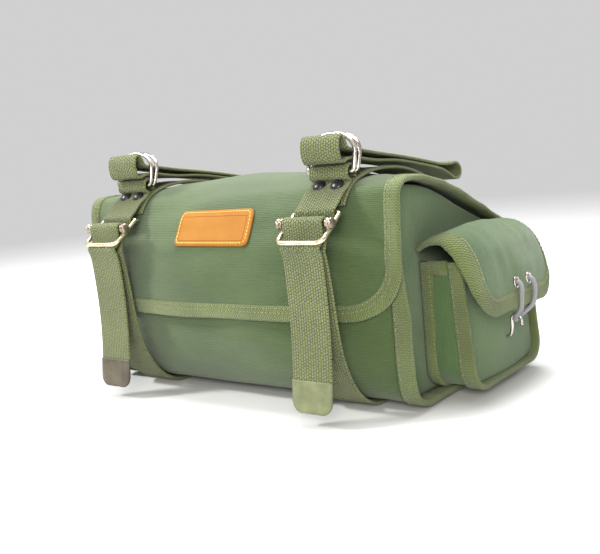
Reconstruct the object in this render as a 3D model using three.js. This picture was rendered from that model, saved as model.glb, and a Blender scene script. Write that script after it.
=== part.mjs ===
// Canvas saddle bag: a barrel-shaped body with one large front flap, a box pocket on each end,
// and two webbing strap sets that each carry a slide-bar buckle, a hanging tail, two D-rings and
// a hanger loop for the saddle. Millimetres, +Z up, +X to the right of someone facing the flap,
// -Y out of the flap's face. The bag stands on its two girth straps.
import * as THREE from 'three';

// ---- driving dimensions ----
const HALF_WIDTH = 142;          // flap and end bindings, half of the width across the bag
const PANEL_X = 130;             // outer face of an end panel
const CANVAS = 2.2;              // canvas and its lining
const TAPE = 11;                 // width of the twill binding tape
const GAP = 0.35;                // clearance left between neighbouring pieces
const SWELL_POWER = 2.5;         // how quickly the stuffed body narrows towards its ends
const FLAP_CORNER = 37;          // radius of the flap's lower corners
const LABEL_HALF = 34;
const LABEL_LOW = 49;            // label's lower edge, measured up from the flap's free edge
const LABEL_TALL = 26.5;
const STRAP_X = 92;              // middle of each strap set
const STRAP_WIDTH = 30;
const WEBBING = 2;
const WIRE = 3.2;                // buckle frame wire
const RING_WIRE = 2.8;
const TOP_BAR = [-89, 130.5];    // buckle frame's upper bar, as [y, z]
const LOWER_BAR = [-110.5, 115]; // buckle frame's lower bar
const POCKET_FRONT = -36;        // pocket's side nearest the flap face
const POCKET_BACK = 66;
const POCKET_OUT = 166.5;        // outer edge of the pocket's front seam
const POCKET_DEPTH = 29.5;       // from the end panel to the pocket's face, at its bottom
const POCKET_TOP = 91.5;
const POCKET_BOTTOM = 6.9;
const CENTRE_Y = 9.983;          // puts the middle of the whole bag at y = 0

// ---- materials ----
const finish = (color, roughness, metalness = 0) =>
  new THREE.MeshStandardMaterial({ color, roughness, metalness });
const canvasGreen = finish(0x7c9b74, 0.92);
const tapeOlive = finish(0x8f9a64, 0.95);
const webbingOlive = finish(0x8d9767, 0.95);
const leatherTan = finish(0xe5a13f, 0.6);
const paleBrass = finish(0xd8cfa6, 0.3, 1);
const nickel = finish(0xcfc4bb, 0.25, 1);
const blackMetal = finish(0x24242a, 0.3, 1);
const vinylBrown = finish(0x6b5d4d, 0.4);
const elasticGrey = finish(0x8b8a90, 0.8);
const boardBlack = finish(0x2c2c2c, 0.7);

const bag = new THREE.Group();
bag.position.y = CENTRE_Y;

function add(name, geometry, material) {
  const mesh = new THREE.Mesh(geometry, material);
  mesh.name = name;
  bag.add(mesh);
  return mesh;
}

// ---- shared geometry helpers ----
const toVectors = (list) => list.map(([a, b]) => new THREE.Vector2(a, b));
const spline = (points) => new THREE.SplineCurve(toVectors(points));
const steps = (from, to, count) =>
  Array.from({ length: count + 1 }, (_, i) => from + (to - from) * i / count);

// Point and outward normal of a profile blended between its end and its middle shape.
function profilePoint(profile, swell, t, lift) {
  const at = (v) => profile.end.getPointAt(v).lerp(profile.middle.getPointAt(v), swell);
  const here = at(t);
  const along = at(Math.min(1, t + 0.004)).sub(at(Math.max(0, t - 0.004))).normalize();
  return new THREE.Vector2(here.x - along.y * lift * profile.side, here.y + along.x * lift * profile.side);
}

const swellAt = (x) => 1 - Math.min(1, Math.abs(x) / PANEL_X) ** SWELL_POWER;

// Closed solid between two offsets of a surface: point(u, v, lift) gives a THREE.Vector3.
function sheetSolid(point, us, vs, low, high) {
  const rows = vs.length;
  const layer = us.length * rows;
  const positions = [];
  for (const lift of [low, high]) {
    for (const u of us) {
      for (const v of vs) positions.push(...point(u, v, lift).toArray());
    }
  }
  const index = [];
  const quad = (a, b, c, d) => index.push(a, b, c, a, c, d);
  for (let i = 0; i < us.length - 1; i += 1) {
    for (let j = 0; j < rows - 1; j += 1) {
      const a = i * rows + j;
      quad(a, a + 1, a + rows + 1, a + rows);
      quad(layer + a, layer + a + rows, layer + a + rows + 1, layer + a + 1);
    }
  }
  for (let i = 0; i < us.length - 1; i += 1) {
    const a = i * rows;
    const b = a + rows - 1;
    quad(a, a + rows, layer + a + rows, layer + a);
    quad(b, layer + b, layer + b + rows, b + rows);
  }
  for (let j = 0; j < rows - 1; j += 1) {
    const a = j;
    const b = (us.length - 1) * rows + j;
    quad(a, layer + a, layer + a + 1, a + 1);
    quad(b, b + 1, layer + b + 1, layer + b);
  }
  const geometry = new THREE.BufferGeometry();
  geometry.setAttribute('position', new THREE.Float32BufferAttribute(positions, 3));
  geometry.setIndex(index);
  return facingOut(geometry);
}

// Turns every face over when the enclosed volume comes out negative.
function facingOut(geometry) {
  const p = geometry.attributes.position;
  const index = geometry.index.array;
  const corner = (i) => new THREE.Vector3().fromBufferAttribute(p, index[i]);
  let volume = 0;
  for (let i = 0; i < index.length; i += 3) volume += corner(i).dot(corner(i + 1).cross(corner(i + 2)));
  if (volume < 0) {
    for (let i = 0; i < index.length; i += 3) [index[i], index[i + 1]] = [index[i + 1], index[i]];
  }
  return geometry;
}

// Same geometry on the other side of the bag.
function mirrored(geometry) {
  const copy = geometry.index ? geometry.clone() : geometry.clone().setIndex(
    Array.from({ length: geometry.attributes.position.count }, (_, i) => i));
  copy.scale(-1, 1, 1);
  return facingOut(copy);
}

// A [y, z] outline extruded along X between two x values.
function acrossBag(shape, fromX, toX, options = {}) {
  const geometry = new THREE.ExtrudeGeometry(shape, { depth: toX - fromX, bevelEnabled: false, ...options });
  const turn = new THREE.Matrix4().makeBasis(
    new THREE.Vector3(0, 1, 0), new THREE.Vector3(0, 0, 1), new THREE.Vector3(1, 0, 0));
  geometry.applyMatrix4(turn);
  geometry.translate(fromX, 0, 0);
  return geometry;
}

// Both edges of a band of the given thickness about a [y, z] centre line.
function bandEdges(points, thickness, closed = false) {
  const n = points.length;
  const edges = { left: [], right: [] };
  points.forEach((p, i) => {
    const before = points[closed ? (i + n - 1) % n : Math.max(0, i - 1)];
    const after = points[closed ? (i + 1) % n : Math.min(n - 1, i + 1)];
    const along = after.clone().sub(before).normalize();
    const out = new THREE.Vector2(-along.y, along.x).multiplyScalar(thickness / 2);
    edges.left.push(p.clone().add(out));
    edges.right.push(p.clone().sub(out));
  });
  return edges;
}

// A length of webbing whose centre line runs in the YZ plane.
function webbingBand(points, x, thickness = WEBBING, width = STRAP_WIDTH) {
  const { left, right } = bandEdges(points, thickness);
  const shape = new THREE.Shape([...left, ...right.reverse()]);
  return acrossBag(shape, x - width / 2, x + width / 2);
}

const smooth = (list, count) => spline(list).getSpacedPoints(count);
const arc = (cy, cz, r, fromDeg, toDeg, count) => steps(fromDeg, toDeg, count).map((deg) => new THREE.Vector2(
  cy + r * Math.cos(THREE.MathUtils.degToRad(deg)), cz + r * Math.sin(THREE.MathUtils.degToRad(deg))));

// ---- outlines across the bag, as [y, z], from the flap face round to the back ----
const wrapProfile = {
  side: -1,
  end: spline([[-71, 116], [-71.5, 90], [-72, 60], [-71.5, 25], [-67, 9.4], [-55, 2.9], [-40, 2.2],
    [0, 2.2], [45, 2.2], [64, 3.8], [78, 12], [84, 28], [85, 58], [85, 91]]),
  middle: spline([[-89, 112], [-91, 90], [-91.5, 62], [-89, 42], [-83, 25], [-73, 11.5], [-60, 4.8],
    [-42, 3.2], [0, 3.2], [47, 3.2], [67, 5], [81, 13], [88, 30], [89.5, 60], [87, 91]]),
};
const flapProfile = {
  side: 1,
  end: spline([[-78, 61], [-77.5, 80], [-76.5, 100], [-75.5, 120], [-74, 137], [-69, 145], [-58, 147.3],
    [-40, 146], [-19, 142], [0, 135.5], [22, 126], [45, 117], [66, 109], [79, 102], [86, 95.5]]),
  middle: spline([[-96.5, 61], [-98.5, 75], [-98, 90], [-94.5, 106], [-88.5, 120], [-80.5, 133], [-67, 144.5],
    [-48, 151.5], [-25, 154], [0, 152.5], [24, 146], [46, 135], [66, 120.5], [79, 107], [87, 96]]),
};
const FLAP_LENGTH = (flapProfile.end.getLength() + flapProfile.middle.getLength()) / 2;
const WRAP_LENGTH = (wrapProfile.end.getLength() + wrapProfile.middle.getLength()) / 2;

const surface = (profile) => (x, t, lift) => {
  const p = profilePoint(profile, swellAt(x), t, lift);
  return new THREE.Vector3(x, p.x, p.y);
};
const wrapSurface = surface(wrapProfile);
const flapSurface = surface(flapProfile);

// ---- body ----
function buildBody() {
  const mouth = TAPE / WRAP_LENGTH;
  const inner = PANEL_X - GAP;
  const wrap = sheetSolid(wrapSurface, steps(-inner, inner, 12), steps(mouth, 1, 30), -CANVAS, 0);
  add('main_wrap', wrap, canvasGreen);
  const hem = sheetSolid(
    wrapSurface, steps(-inner, inner, 10), steps(0, mouth - 0.002, 2), -CANVAS - 0.8, 0.3);
  add('mouth_binding', hem, tapeOlive);
  const seam = [0.02, 0.985];    // share of the wrap's length that the end seams run along
  const right = sheetSolid(
    wrapSurface, steps(PANEL_X, HALF_WIDTH, 1), steps(...seam, 34), -CANVAS - 1.2, 1.2);
  add('body_binding_right', right, tapeOlive);
  add('body_binding_left', mirrored(right), tapeOlive);

  const outline = steps(...seam, 26).map((t) => profilePoint(wrapProfile, 0, t, -CANVAS - 1.6));
  const top = steps(0.90, 0.33, 10).map((t) => profilePoint(flapProfile, 0, t, -8));
  const shape = new THREE.Shape([...outline, ...top]);
  const panel = acrossBag(shape, PANEL_X - CANVAS, PANEL_X - 0.1);
  add('end_panel_right', panel, canvasGreen);
  add('end_panel_left', mirrored(panel), canvasGreen);

  const board = new THREE.BoxGeometry(236, 92, 2);
  board.translate(0, 2, 7);
  add('base_board', board, boardBlack);
}

// ---- main flap ----
// Half width of an outline with rounded lower corners, at distance s above its lower edge.
function roundedHalf(half, corner, s) {
  return s >= corner ? half : half - corner + Math.sqrt(corner ** 2 - (corner - s) ** 2);
}

function buildFlap() {
  const hem = TAPE + GAP;
  const inset = (s) => roundedHalf(HALF_WIDTH - hem, FLAP_CORNER - hem, s - hem);
  const rows = [hem, hem + 3, hem + 9, hem + 17, FLAP_CORNER, ...steps(50, FLAP_LENGTH, 20)];
  const canvas = (u, s, lift) => flapSurface(u * inset(s), s / FLAP_LENGTH, lift);
  add('flap', sheetSolid(canvas, steps(-1, 1, 14), rows, -CANVAS, 0), canvasGreen);

  // Path round the flap's free edge: up from the left corner arc, along the hem, and up the right.
  const corner = (deg) => [Math.sin(deg), 1 - Math.cos(deg)];
  const edge = [];
  for (const s of steps(FLAP_LENGTH, FLAP_CORNER + 12, 16)) edge.push([-1, s, -1, 0]);
  for (const a of steps(Math.PI / 2, 0, 6)) {
    const [sx, sz] = corner(a);
    const x = HALF_WIDTH - FLAP_CORNER + FLAP_CORNER * sx;
    edge.push([-x / HALF_WIDTH, FLAP_CORNER * sz, -sx, -Math.cos(a)]);
  }
  const path = [...edge, ...steps(-85, 85, 5).map((x) => [x / HALF_WIDTH, 0, 0, -1]),
    ...edge.slice().reverse().map(([x, s, nx, ns]) => [-x, s, -nx, ns])];
  const binding = (i, inward, lift) => {
    const [x, s, nx, ns] = path[i];
    return flapSurface(x * HALF_WIDTH - nx * inward, (s - ns * inward) / FLAP_LENGTH, lift);
  };
  const folded = sheetSolid(binding, [...path.keys()], [0, TAPE], -CANVAS - 0.7, 0.7);
  add('flap_binding', folded, tapeOlive);

  const label = (x, s, lift) => flapSurface(x, s / FLAP_LENGTH, lift);
  const across = steps(-LABEL_HALF, LABEL_HALF, 6);
  const upwards = steps(LABEL_LOW, LABEL_LOW + LABEL_TALL, 4);
  add('label_patch', sheetSolid(label, across, upwards, GAP + 0.3, GAP + 1.8), leatherTan);
}

// ---- pockets ----
const POCKET_MIDDLE = (POCKET_FRONT + POCKET_BACK) / 2;
// Depth scale: the pocket is shallower at its mouth than at its bottom.
const pocketTaper = (z) => 1 - 0.18
  * THREE.MathUtils.clamp((z - POCKET_BOTTOM) / (POCKET_TOP - POCKET_BOTTOM), 0, 1);

// U-shaped path down one side, across the bottom and up the other, as [y, z] with rounded corners.
function pocketOutline(inset, topZ) {
  const r = 15 - inset;
  const front = POCKET_FRONT + inset;
  const back = POCKET_BACK - inset;
  const base = POCKET_BOTTOM + inset;
  return [new THREE.Vector2(front, topZ), new THREE.Vector2(front, (topZ + base + r) / 2),
    ...arc(front + r, base + r, r, 180, 270, 4), ...arc(back - r, base + r, r, 270, 360, 4),
    new THREE.Vector2(back, (topZ + base + r) / 2), new THREE.Vector2(back, topZ)];
}

// Band that follows the pocket outline between two depths, thickness measured inwards.
function pocketBand(fromX, toX, insetOut, insetIn, topZ) {
  const outer = pocketOutline(insetOut, topZ);
  const inner = pocketOutline(insetIn, topZ);
  const point = (x, i, lift) => {
    const p = outer[i].clone().lerp(inner[i], lift);
    return new THREE.Vector3(PANEL_X + (x - PANEL_X) * pocketTaper(p.y), p.x, p.y);
  };
  return sheetSolid(point, [fromX, toX], [...outer.keys()], 0, 1);
}

function pocketFace() {
  const half = (POCKET_BACK - POCKET_FRONT) / 2 - 3.5;
  const low = POCKET_BOTTOM + 3.5;
  const corner = 11.5;
  const point = (u, z, lift) => {
    const y = u * roundedHalf(half, corner, z - low);
    const bulge = 4 * (1 - u ** 2) * (1 - ((z - 45) / 48) ** 2);
    return new THREE.Vector3(PANEL_X + (POCKET_DEPTH + lift) * pocketTaper(z) + bulge, POCKET_MIDDLE + y, z);
  };
  const rows = [low, low + 2, low + 6, low + corner, 34, 46, 60, 74, 84, POCKET_TOP];
  return sheetSolid(point, steps(-1, 1, 8), rows, 0, CANVAS);
}

// Pocket flap: a domed sheet from the end panel over the mouth and down the pocket's face.
const pocketFlapProfile = {
  side: 1,
  end: spline([[130.7, 99.5], [137.5, 104.2], [145.5, 105.4], [151, 103.4], [157, 96.5], [164, 86], [170, 76],
    [173.4, 66], [174.4, 55]]),
  middle: spline([[130.7, 102], [138.5, 108], [148, 111], [157, 110], [165, 105.5], [171.5, 97],
    [175, 86], [176.6, 71], [176, 54]]),
};
const POCKET_FLAP_LENGTH = 86;
const POCKET_FLAP_HALF = 57.5;
const POCKET_FLAP_CORNER = 24;
const POCKET_FLAP_DROP = 3.5;    // its back corner hangs lower, under the main flap's falling edge
const POCKET_FOLD = 0.22;        // where the pocket flap bends when it is lifted

// s runs up from the flap's free lower edge, across is measured from the pocket's middle.
function pocketFlapSurface(across, s, lift) {
  const crown = 1 - Math.min(1, Math.abs(across) / POCKET_FLAP_HALF) ** 6;
  const drop = POCKET_FLAP_DROP * Math.max(0, across / POCKET_FLAP_HALF) ** 2;
  const p = profilePoint(pocketFlapProfile, crown, 1 - s / POCKET_FLAP_LENGTH, lift);
  return new THREE.Vector3(p.x, POCKET_MIDDLE + across, p.y - drop);
}

function pocketFlapPieces() {
  const hem = TAPE + GAP;
  const fold = POCKET_FLAP_LENGTH * (1 - POCKET_FOLD);
  const halfAt = (s) => roundedHalf(POCKET_FLAP_HALF - hem, POCKET_FLAP_CORNER - hem, s - hem);
  const canvas = (u, s, lift) => pocketFlapSurface(u * halfAt(s), s, lift);
  const edge = [];
  for (const s of steps(fold - 0.3, POCKET_FLAP_CORNER + 6, 5)) edge.push([-POCKET_FLAP_HALF, s, -1, 0]);
  for (const a of steps(Math.PI / 2, 0, 4)) {
    const x = POCKET_FLAP_HALF - POCKET_FLAP_CORNER * (1 - Math.sin(a));
    edge.push([-x, POCKET_FLAP_CORNER * (1 - Math.cos(a)), -Math.sin(a), -Math.cos(a)]);
  }
  const path = [...edge, [-10, 0, 0, -1], [10, 0, 0, -1],
    ...edge.slice().reverse().map(([x, s, nx, ns]) => [-x, s, -nx, ns])];
  const binding = (i, inward, lift) => {
    const [x, s, nx, ns] = path[i];
    return pocketFlapSurface(x - nx * inward, s - ns * inward, lift);
  };
  const fixedStrip = (u, s, lift) => pocketFlapSurface(u * POCKET_FLAP_HALF, s, lift);
  const across = steps(-1, 1, 8);
  const upwards = [hem, hem + 3, hem + 7, POCKET_FLAP_CORNER, ...steps(32, fold - 0.3, 5)];
  return {
    hinge: sheetSolid(fixedStrip, across, steps(fold + 1.2, POCKET_FLAP_LENGTH, 3), -CANVAS, 0),
    flap: sheetSolid(canvas, across, upwards, -CANVAS, 0),
    binding: sheetSolid(binding, [...path.keys()], [0, TAPE], -CANVAS - 0.6, 0.6),
  };
}

const EYELET_UP = TAPE + 5.5;    // eyelets' height above the pocket flap's lower edge
const EYELET_SPACING = 17;
const HOOK_Z = 44;
function eyelet(y) {
  const ring = new THREE.LatheGeometry([[2.1, 0], [4.1, 0], [4.1, 0.5], [3.2, 1.1], [2.1, 0.7], [2.1, 0]]
    .map(([r, h]) => new THREE.Vector2(r, h)), 14);
  const seat = pocketFlapSurface(y - POCKET_MIDDLE, EYELET_UP, GAP + 0.1);
  ring.rotateZ(-Math.PI / 2);
  ring.translate(seat.x, seat.y, seat.z);
  return ring;
}

function tube(points, radius, sides, count) {
  const circle = new THREE.Shape(steps(0, Math.PI * 2, sides).slice(0, -1).map(
    (a) => new THREE.Vector2(radius * Math.cos(a), radius * Math.sin(a))));
  const path = new THREE.CatmullRomCurve3(points.map(([x, y, z]) => new THREE.Vector3(x, y, z)));
  return new THREE.ExtrudeGeometry(circle, { steps: count, extrudePath: path, bevelEnabled: false });
}

function elasticLoop() {
  const seat = pocketFlapSurface(0, EYELET_UP, 0);
  const side = (end) => {
    const y = POCKET_MIDDLE + end * EYELET_SPACING / 2;
    const slack = end > 0 ? 2.5 : 0;    // the back leg bows out, the front leg hangs straight
    return [[seat.x + 1, y, seat.z], [seat.x + 2.2, y, seat.z - 0.2],
      [seat.x + 3.6, y + slack / 2, seat.z - 3.5], [seat.x + 3.3, y + slack, 61],
      [seat.x + 2, y + slack * 0.6 - end, 53.5], [173.4, POCKET_MIDDLE + end * 5, 47.5]];
  };
  return tube([...side(-1), [171.4, POCKET_MIDDLE, HOOK_Z + 0.6], ...side(1).reverse()], 1.5, 8, 34);
}

function pocketHook() {
  const y = POCKET_MIDDLE;
  return tube([[164.1, y, HOOK_Z - 11], [166.6, y, HOOK_Z - 10], [168, y, HOOK_Z - 5], [168.4, y, HOOK_Z + 2],
    [171.4, y, HOOK_Z + 4.6], [174.6, y, HOOK_Z + 2], [175, y, HOOK_Z - 1.5], [175.4, y, HOOK_Z - 3]],
  1, 8, 16);
}

function buildPockets() {
  const flap = pocketFlapPieces();
  const pieces = [
    ['pocket_back_binding', pocketBand(PANEL_X + GAP, PANEL_X + 9, -0.8, 3, POCKET_TOP), tapeOlive],
    ['pocket_gusset', pocketBand(PANEL_X + 9.3, 154.6, 0, CANVAS, POCKET_TOP), canvasGreen],
    ['pocket_front_binding', pocketBand(154.9, POCKET_OUT, -0.8, 3, POCKET_TOP), tapeOlive],
    ['pocket_face', pocketFace(), canvasGreen],
    ['pocket_flap_hinge', flap.hinge, canvasGreen],
    ['pocket_flap', flap.flap, canvasGreen],
    ['pocket_flap_binding', flap.binding, tapeOlive],
    ['pocket_eyelet_front', eyelet(POCKET_MIDDLE - EYELET_SPACING / 2), nickel],
    ['pocket_eyelet_back', eyelet(POCKET_MIDDLE + EYELET_SPACING / 2), nickel],
    ['pocket_elastic', elasticLoop(), elasticGrey],
    ['pocket_hook', pocketHook(), nickel],
  ];
  for (const [name, geometry, material] of pieces) {
    add(`${name}_right`, geometry, material);
    add(`${name}_left`, mirrored(geometry), material);
  }
}

// ---- strap sets ----
const strapSwell = swellAt(STRAP_X - STRAP_WIDTH / 2);
const strapPoint = (t, lift) => profilePoint(flapProfile, strapSwell, t, lift);
const frameDown = new THREE.Vector2(LOWER_BAR[0] - TOP_BAR[0], LOWER_BAR[1] - TOP_BAR[1]);
const FRAME_LENGTH = frameDown.length();
frameDown.normalize();
// Point at a distance down the buckle frame and a height above its plane, as a [y, z] vector.
const onFrame = (down, out) => new THREE.Vector2(
  TOP_BAR[0] + frameDown.x * down + frameDown.y * out, TOP_BAR[1] + frameDown.y * down - frameDown.x * out);
const BAR_DOWN = 13.5;           // slide bar's place down the frame
const BAR_OUT = 3.8;             // and its height above the frame's plane

function girthStrap(x) {
  const front = smooth([[-104.8, 108.4], [-102.2, 99], [-100.2, 84], [-98, 60], [-95, 43],
    [-88.2, 26], [-77.9, 11.5], [-64, 2.9], [-52, 1]], 20);
  const back = smooth([[55, 1], [70, 2.7], [84.8, 11], [91.8, 28], [92.8, 55], [91.4, 84]], 14);
  return webbingBand([...front, ...back], x);
}

function topBand(x) {
  const reach = steps(0.284, 0.955, 24);    // shares of the flap's length, measured from its hem
  return webbingBand(reach.map((t) => strapPoint(t, GAP + 0.3 + WEBBING / 2)), x);
}

function linkStrap(x) {
  const turn = steps(-80, 75, 6).map((deg) => {
    const a = THREE.MathUtils.degToRad(deg);
    return onFrame(3.1 * Math.cos(a), 3.1 * Math.sin(a));
  });
  return webbingBand([onFrame(-3.2, -3.1), ...turn, onFrame(-5, 3), strapPoint(0.309, 6),
    strapPoint(0.325, 4.4), strapPoint(0.347, 4.2)], x);
}

const RING_BARS = [-70.9, -67.2];
const RING_BAR_Z = 154;
function linkLoop(x) {
  const middle = (RING_BARS[0] + RING_BARS[1]) / 2;
  const radius = 1.85 + RING_WIRE / 2 + GAP + WEBBING / 2;
  return webbingBand([new THREE.Vector2(middle + 3.4, 149.9), ...arc(middle, RING_BAR_Z, radius, 0, 180, 8),
    new THREE.Vector2(middle - radius + 1, 151.2)], x);
}

// Ring or frame of round wire, cut from a flat outline with a hole and bevelled on both faces.
function wireFrame(outline, hole, wire) {
  outline.holes.push(hole);
  const bevel = wire * 0.29;
  const geometry = new THREE.ExtrudeGeometry(outline, { depth: wire - 2 * bevel, bevelEnabled: true,
    bevelThickness: bevel, bevelSize: bevel, bevelOffset: -bevel, bevelSegments: 1, curveSegments: 5 });
  geometry.translate(0, 0, -(wire - 2 * bevel) / 2);
  return geometry;
}

function roundedRect(Kind, halfWidth, bottom, top, lowRadius, topRadius) {
  const shape = new Kind();
  shape.moveTo(-halfWidth + lowRadius, bottom);
  shape.lineTo(halfWidth - lowRadius, bottom);
  shape.absarc(halfWidth - lowRadius, bottom + lowRadius, lowRadius, -Math.PI / 2, 0);
  shape.absarc(halfWidth - topRadius, top - topRadius, topRadius, 0, Math.PI / 2);
  shape.absarc(-halfWidth + topRadius, top - topRadius, topRadius, Math.PI / 2, Math.PI);
  shape.absarc(-halfWidth + lowRadius, bottom + lowRadius, lowRadius, Math.PI, Math.PI * 1.5);
  return shape;
}

const FRAME_HALF = 17.3;         // buckle frame's wire centre, from the strap's middle
function buckleFrame(x) {
  const w = WIRE / 2;
  const geometry = wireFrame(
    roundedRect(THREE.Shape, FRAME_HALF + w, -FRAME_LENGTH - w, w, 6, 3.4),
    roundedRect(THREE.Path, FRAME_HALF - w, -FRAME_LENGTH + w, -w, 2.8, 0.6), WIRE);
  geometry.applyMatrix4(new THREE.Matrix4().makeBasis(new THREE.Vector3(1, 0, 0),
    new THREE.Vector3(0, -frameDown.x, -frameDown.y), new THREE.Vector3(0, frameDown.y, -frameDown.x)));
  geometry.translate(x, TOP_BAR[0], TOP_BAR[1]);
  return geometry;
}

function slideBar(x) {
  const inside = FRAME_HALF + WIRE / 2 + GAP;
  const half = [[1.9, 0], [1.9, inside], [3.3, inside], [3.5, inside + 1.2], [2.9, inside + 3],
    [0, inside + 3.4]];
  const profile = [...half.slice(1).reverse().map(([r, h]) => [r, -h]), ...half.slice(1)];
  const geometry = new THREE.LatheGeometry(toVectors(profile), 10);
  geometry.rotateZ(Math.PI / 2);
  const centre = onFrame(BAR_DOWN, BAR_OUT);
  geometry.translate(x, centre.x, centre.y);
  return geometry;
}

// Webbing that comes up behind the frame, over the slide bar and back down behind the lower bar.
function webbingRoll(x) {
  const behind = WIRE / 2 + GAP + WEBBING / 2;
  const turn = steps(240, 20, 8).map((deg) => {
    const a = THREE.MathUtils.degToRad(deg);
    const r = 1.9 + GAP + WEBBING / 2;
    return onFrame(BAR_DOWN + r * Math.cos(a), BAR_OUT + r * Math.sin(a));
  });
  return webbingBand([onFrame(FRAME_LENGTH - 2.2, -behind - 5), onFrame(20, -4.9), ...turn,
    onFrame(19.4, 0.4), onFrame(22.2, -2.7), onFrame(FRAME_LENGTH + 1.4, -behind - 0.4)], x);
}

const TIP_TOP = 29;
const tailLine = [[-108.7, 109.2], [-107.3, 97], [-106.6, 78], [-106.8, 58], [-108, 40],
  [-109.6, TIP_TOP + 0.3]];
function strapTail(x) {
  return webbingBand(smooth(tailLine, 10), x);
}

function tailTip(x) {
  const height = 20.5;
  const shape = roundedRect(THREE.Shape, STRAP_WIDTH / 2 + 0.2, -height, 0, 8, 0.5);
  const geometry = new THREE.ExtrudeGeometry(shape, { depth: 3, bevelEnabled: false, curveSegments: 4 });
  geometry.applyMatrix4(new THREE.Matrix4().makeBasis(
    new THREE.Vector3(1, 0, 0), new THREE.Vector3(0, 0, 1), new THREE.Vector3(0, -1, 0)));
  geometry.rotateX(-0.13);
  geometry.translate(x, -108.2, TIP_TOP);
  return geometry;
}

function rivet(x) {
  const profile = [[0, 0], [4.3, 0], [4.4, 0.6], [3.6, 1.7], [2, 2.4], [0, 2.6]];
  const geometry = new THREE.LatheGeometry(toVectors(profile), 12);
  const seat = strapPoint(0.329, 4.4 + WEBBING / 2 + 0.65);
  const next = strapPoint(0.333, 4.4 + WEBBING / 2 + 0.65);
  geometry.rotateX(Math.PI / 2 + Math.atan2(next.y - seat.y, next.x - seat.x));
  geometry.translate(x, seat.x, seat.y);
  return geometry;
}

// A D-ring standing on its flat bar, leaning by a few degrees.
function dRing(x, barY, leanDeg) {
  const w = RING_WIRE / 2;
  const half = 17.9;
  const outline = (Kind, grow, radius) => {
    const shape = new Kind();
    shape.moveTo(-half - grow + radius, -grow);
    shape.lineTo(half + grow - radius, -grow);
    shape.absarc(half + grow - radius, -grow + radius, radius, -Math.PI / 2, 0);
    shape.absellipse(0, 12, half + grow, 12.6 + grow, 0, Math.PI);
    shape.absarc(-half - grow + radius, -grow + radius, radius, Math.PI, Math.PI * 1.5);
    return shape;
  };
  const geometry = wireFrame(outline(THREE.Shape, w, 4), outline(THREE.Path, -w, 1.4), RING_WIRE);
  geometry.rotateX(Math.PI / 2 + THREE.MathUtils.degToRad(leanDeg));
  geometry.translate(x, barY, RING_BAR_Z);
  return geometry;
}

// Hanger strap: one closed loop from the fat roll in front of the rings back to the saddle.
function hangerStrap(x) {
  const line = [[-60, 167], [-66, 167.3], [-71.4, 169.2], [-73.6, 173.8], [-76, 176.8],
    [-79.4, 175.6], [-81, 171], [-80.8, 165.4], [-79, 161.2], [-75.8, 160.6], [-72, 161.9],
    [-62, 161.9], [-40, 158.8], [-14, 156.9],
    [14, 152.7], [44, 146.9], [56, 142.6], [65, 138.4], [72.6, 138.6], [75, 144.4], [69.4, 149.4],
    [60, 149.3], [45, 150.2], [14, 155.6], [-14, 160], [-38, 163.4]];
  const path = new THREE.SplineCurve(toVectors([...line, line[0]])).getSpacedPoints(56).slice(0, -1);
  const { left, right } = bandEdges(path, WEBBING, true);
  const [outer, inner] = THREE.ShapeUtils.area(left) ** 2 > THREE.ShapeUtils.area(right) ** 2
    ? [left, right] : [right, left];
  const shape = new THREE.Shape(outer);
  shape.holes.push(new THREE.Path(inner));
  return acrossBag(shape, x - STRAP_WIDTH / 2, x + STRAP_WIDTH / 2);
}

function buildStrapSet(side, x) {
  add(`girth_strap_${side}`, girthStrap(x), webbingOlive);
  add(`top_band_${side}`, topBand(x), webbingOlive);
  add(`link_strap_${side}`, linkStrap(x), webbingOlive);
  add(`link_loop_${side}`, linkLoop(x), webbingOlive);
  add(`rivet_outer_${side}`, rivet(x + 7 * Math.sign(x)), blackMetal);
  add(`rivet_inner_${side}`, rivet(x - 7 * Math.sign(x)), blackMetal);
  add(`buckle_frame_${side}`, buckleFrame(x), paleBrass);
  add(`slide_bar_${side}`, slideBar(x), paleBrass);
  add(`webbing_roll_${side}`, webbingRoll(x), webbingOlive);
  add(`strap_tail_${side}`, strapTail(x), webbingOlive);
  add(`tail_tip_${side}`, tailTip(x), vinylBrown);
  add(`d_ring_front_${side}`, dRing(x, RING_BARS[0], -11), nickel);
  add(`d_ring_back_${side}`, dRing(x, RING_BARS[1], -19), nickel);
  add(`hanger_strap_${side}`, hangerStrap(x), webbingOlive);
}

buildBody();
buildFlap();
buildPockets();
buildStrapSet('right', STRAP_X);
buildStrapSet('left', -STRAP_X);

export default bag;
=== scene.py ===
"""Looks of a canvas saddle bag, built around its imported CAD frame.

Lengths here are millimetres in the bag's own frame; make_mesh turns them into Blender's metres.
+Z is up, +X runs across the bag to the right of its flap face, -Y points out of that face.
"""

import math

import bmesh
import bpy
import numpy as np
from mathutils import Matrix, Vector, noise


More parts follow.
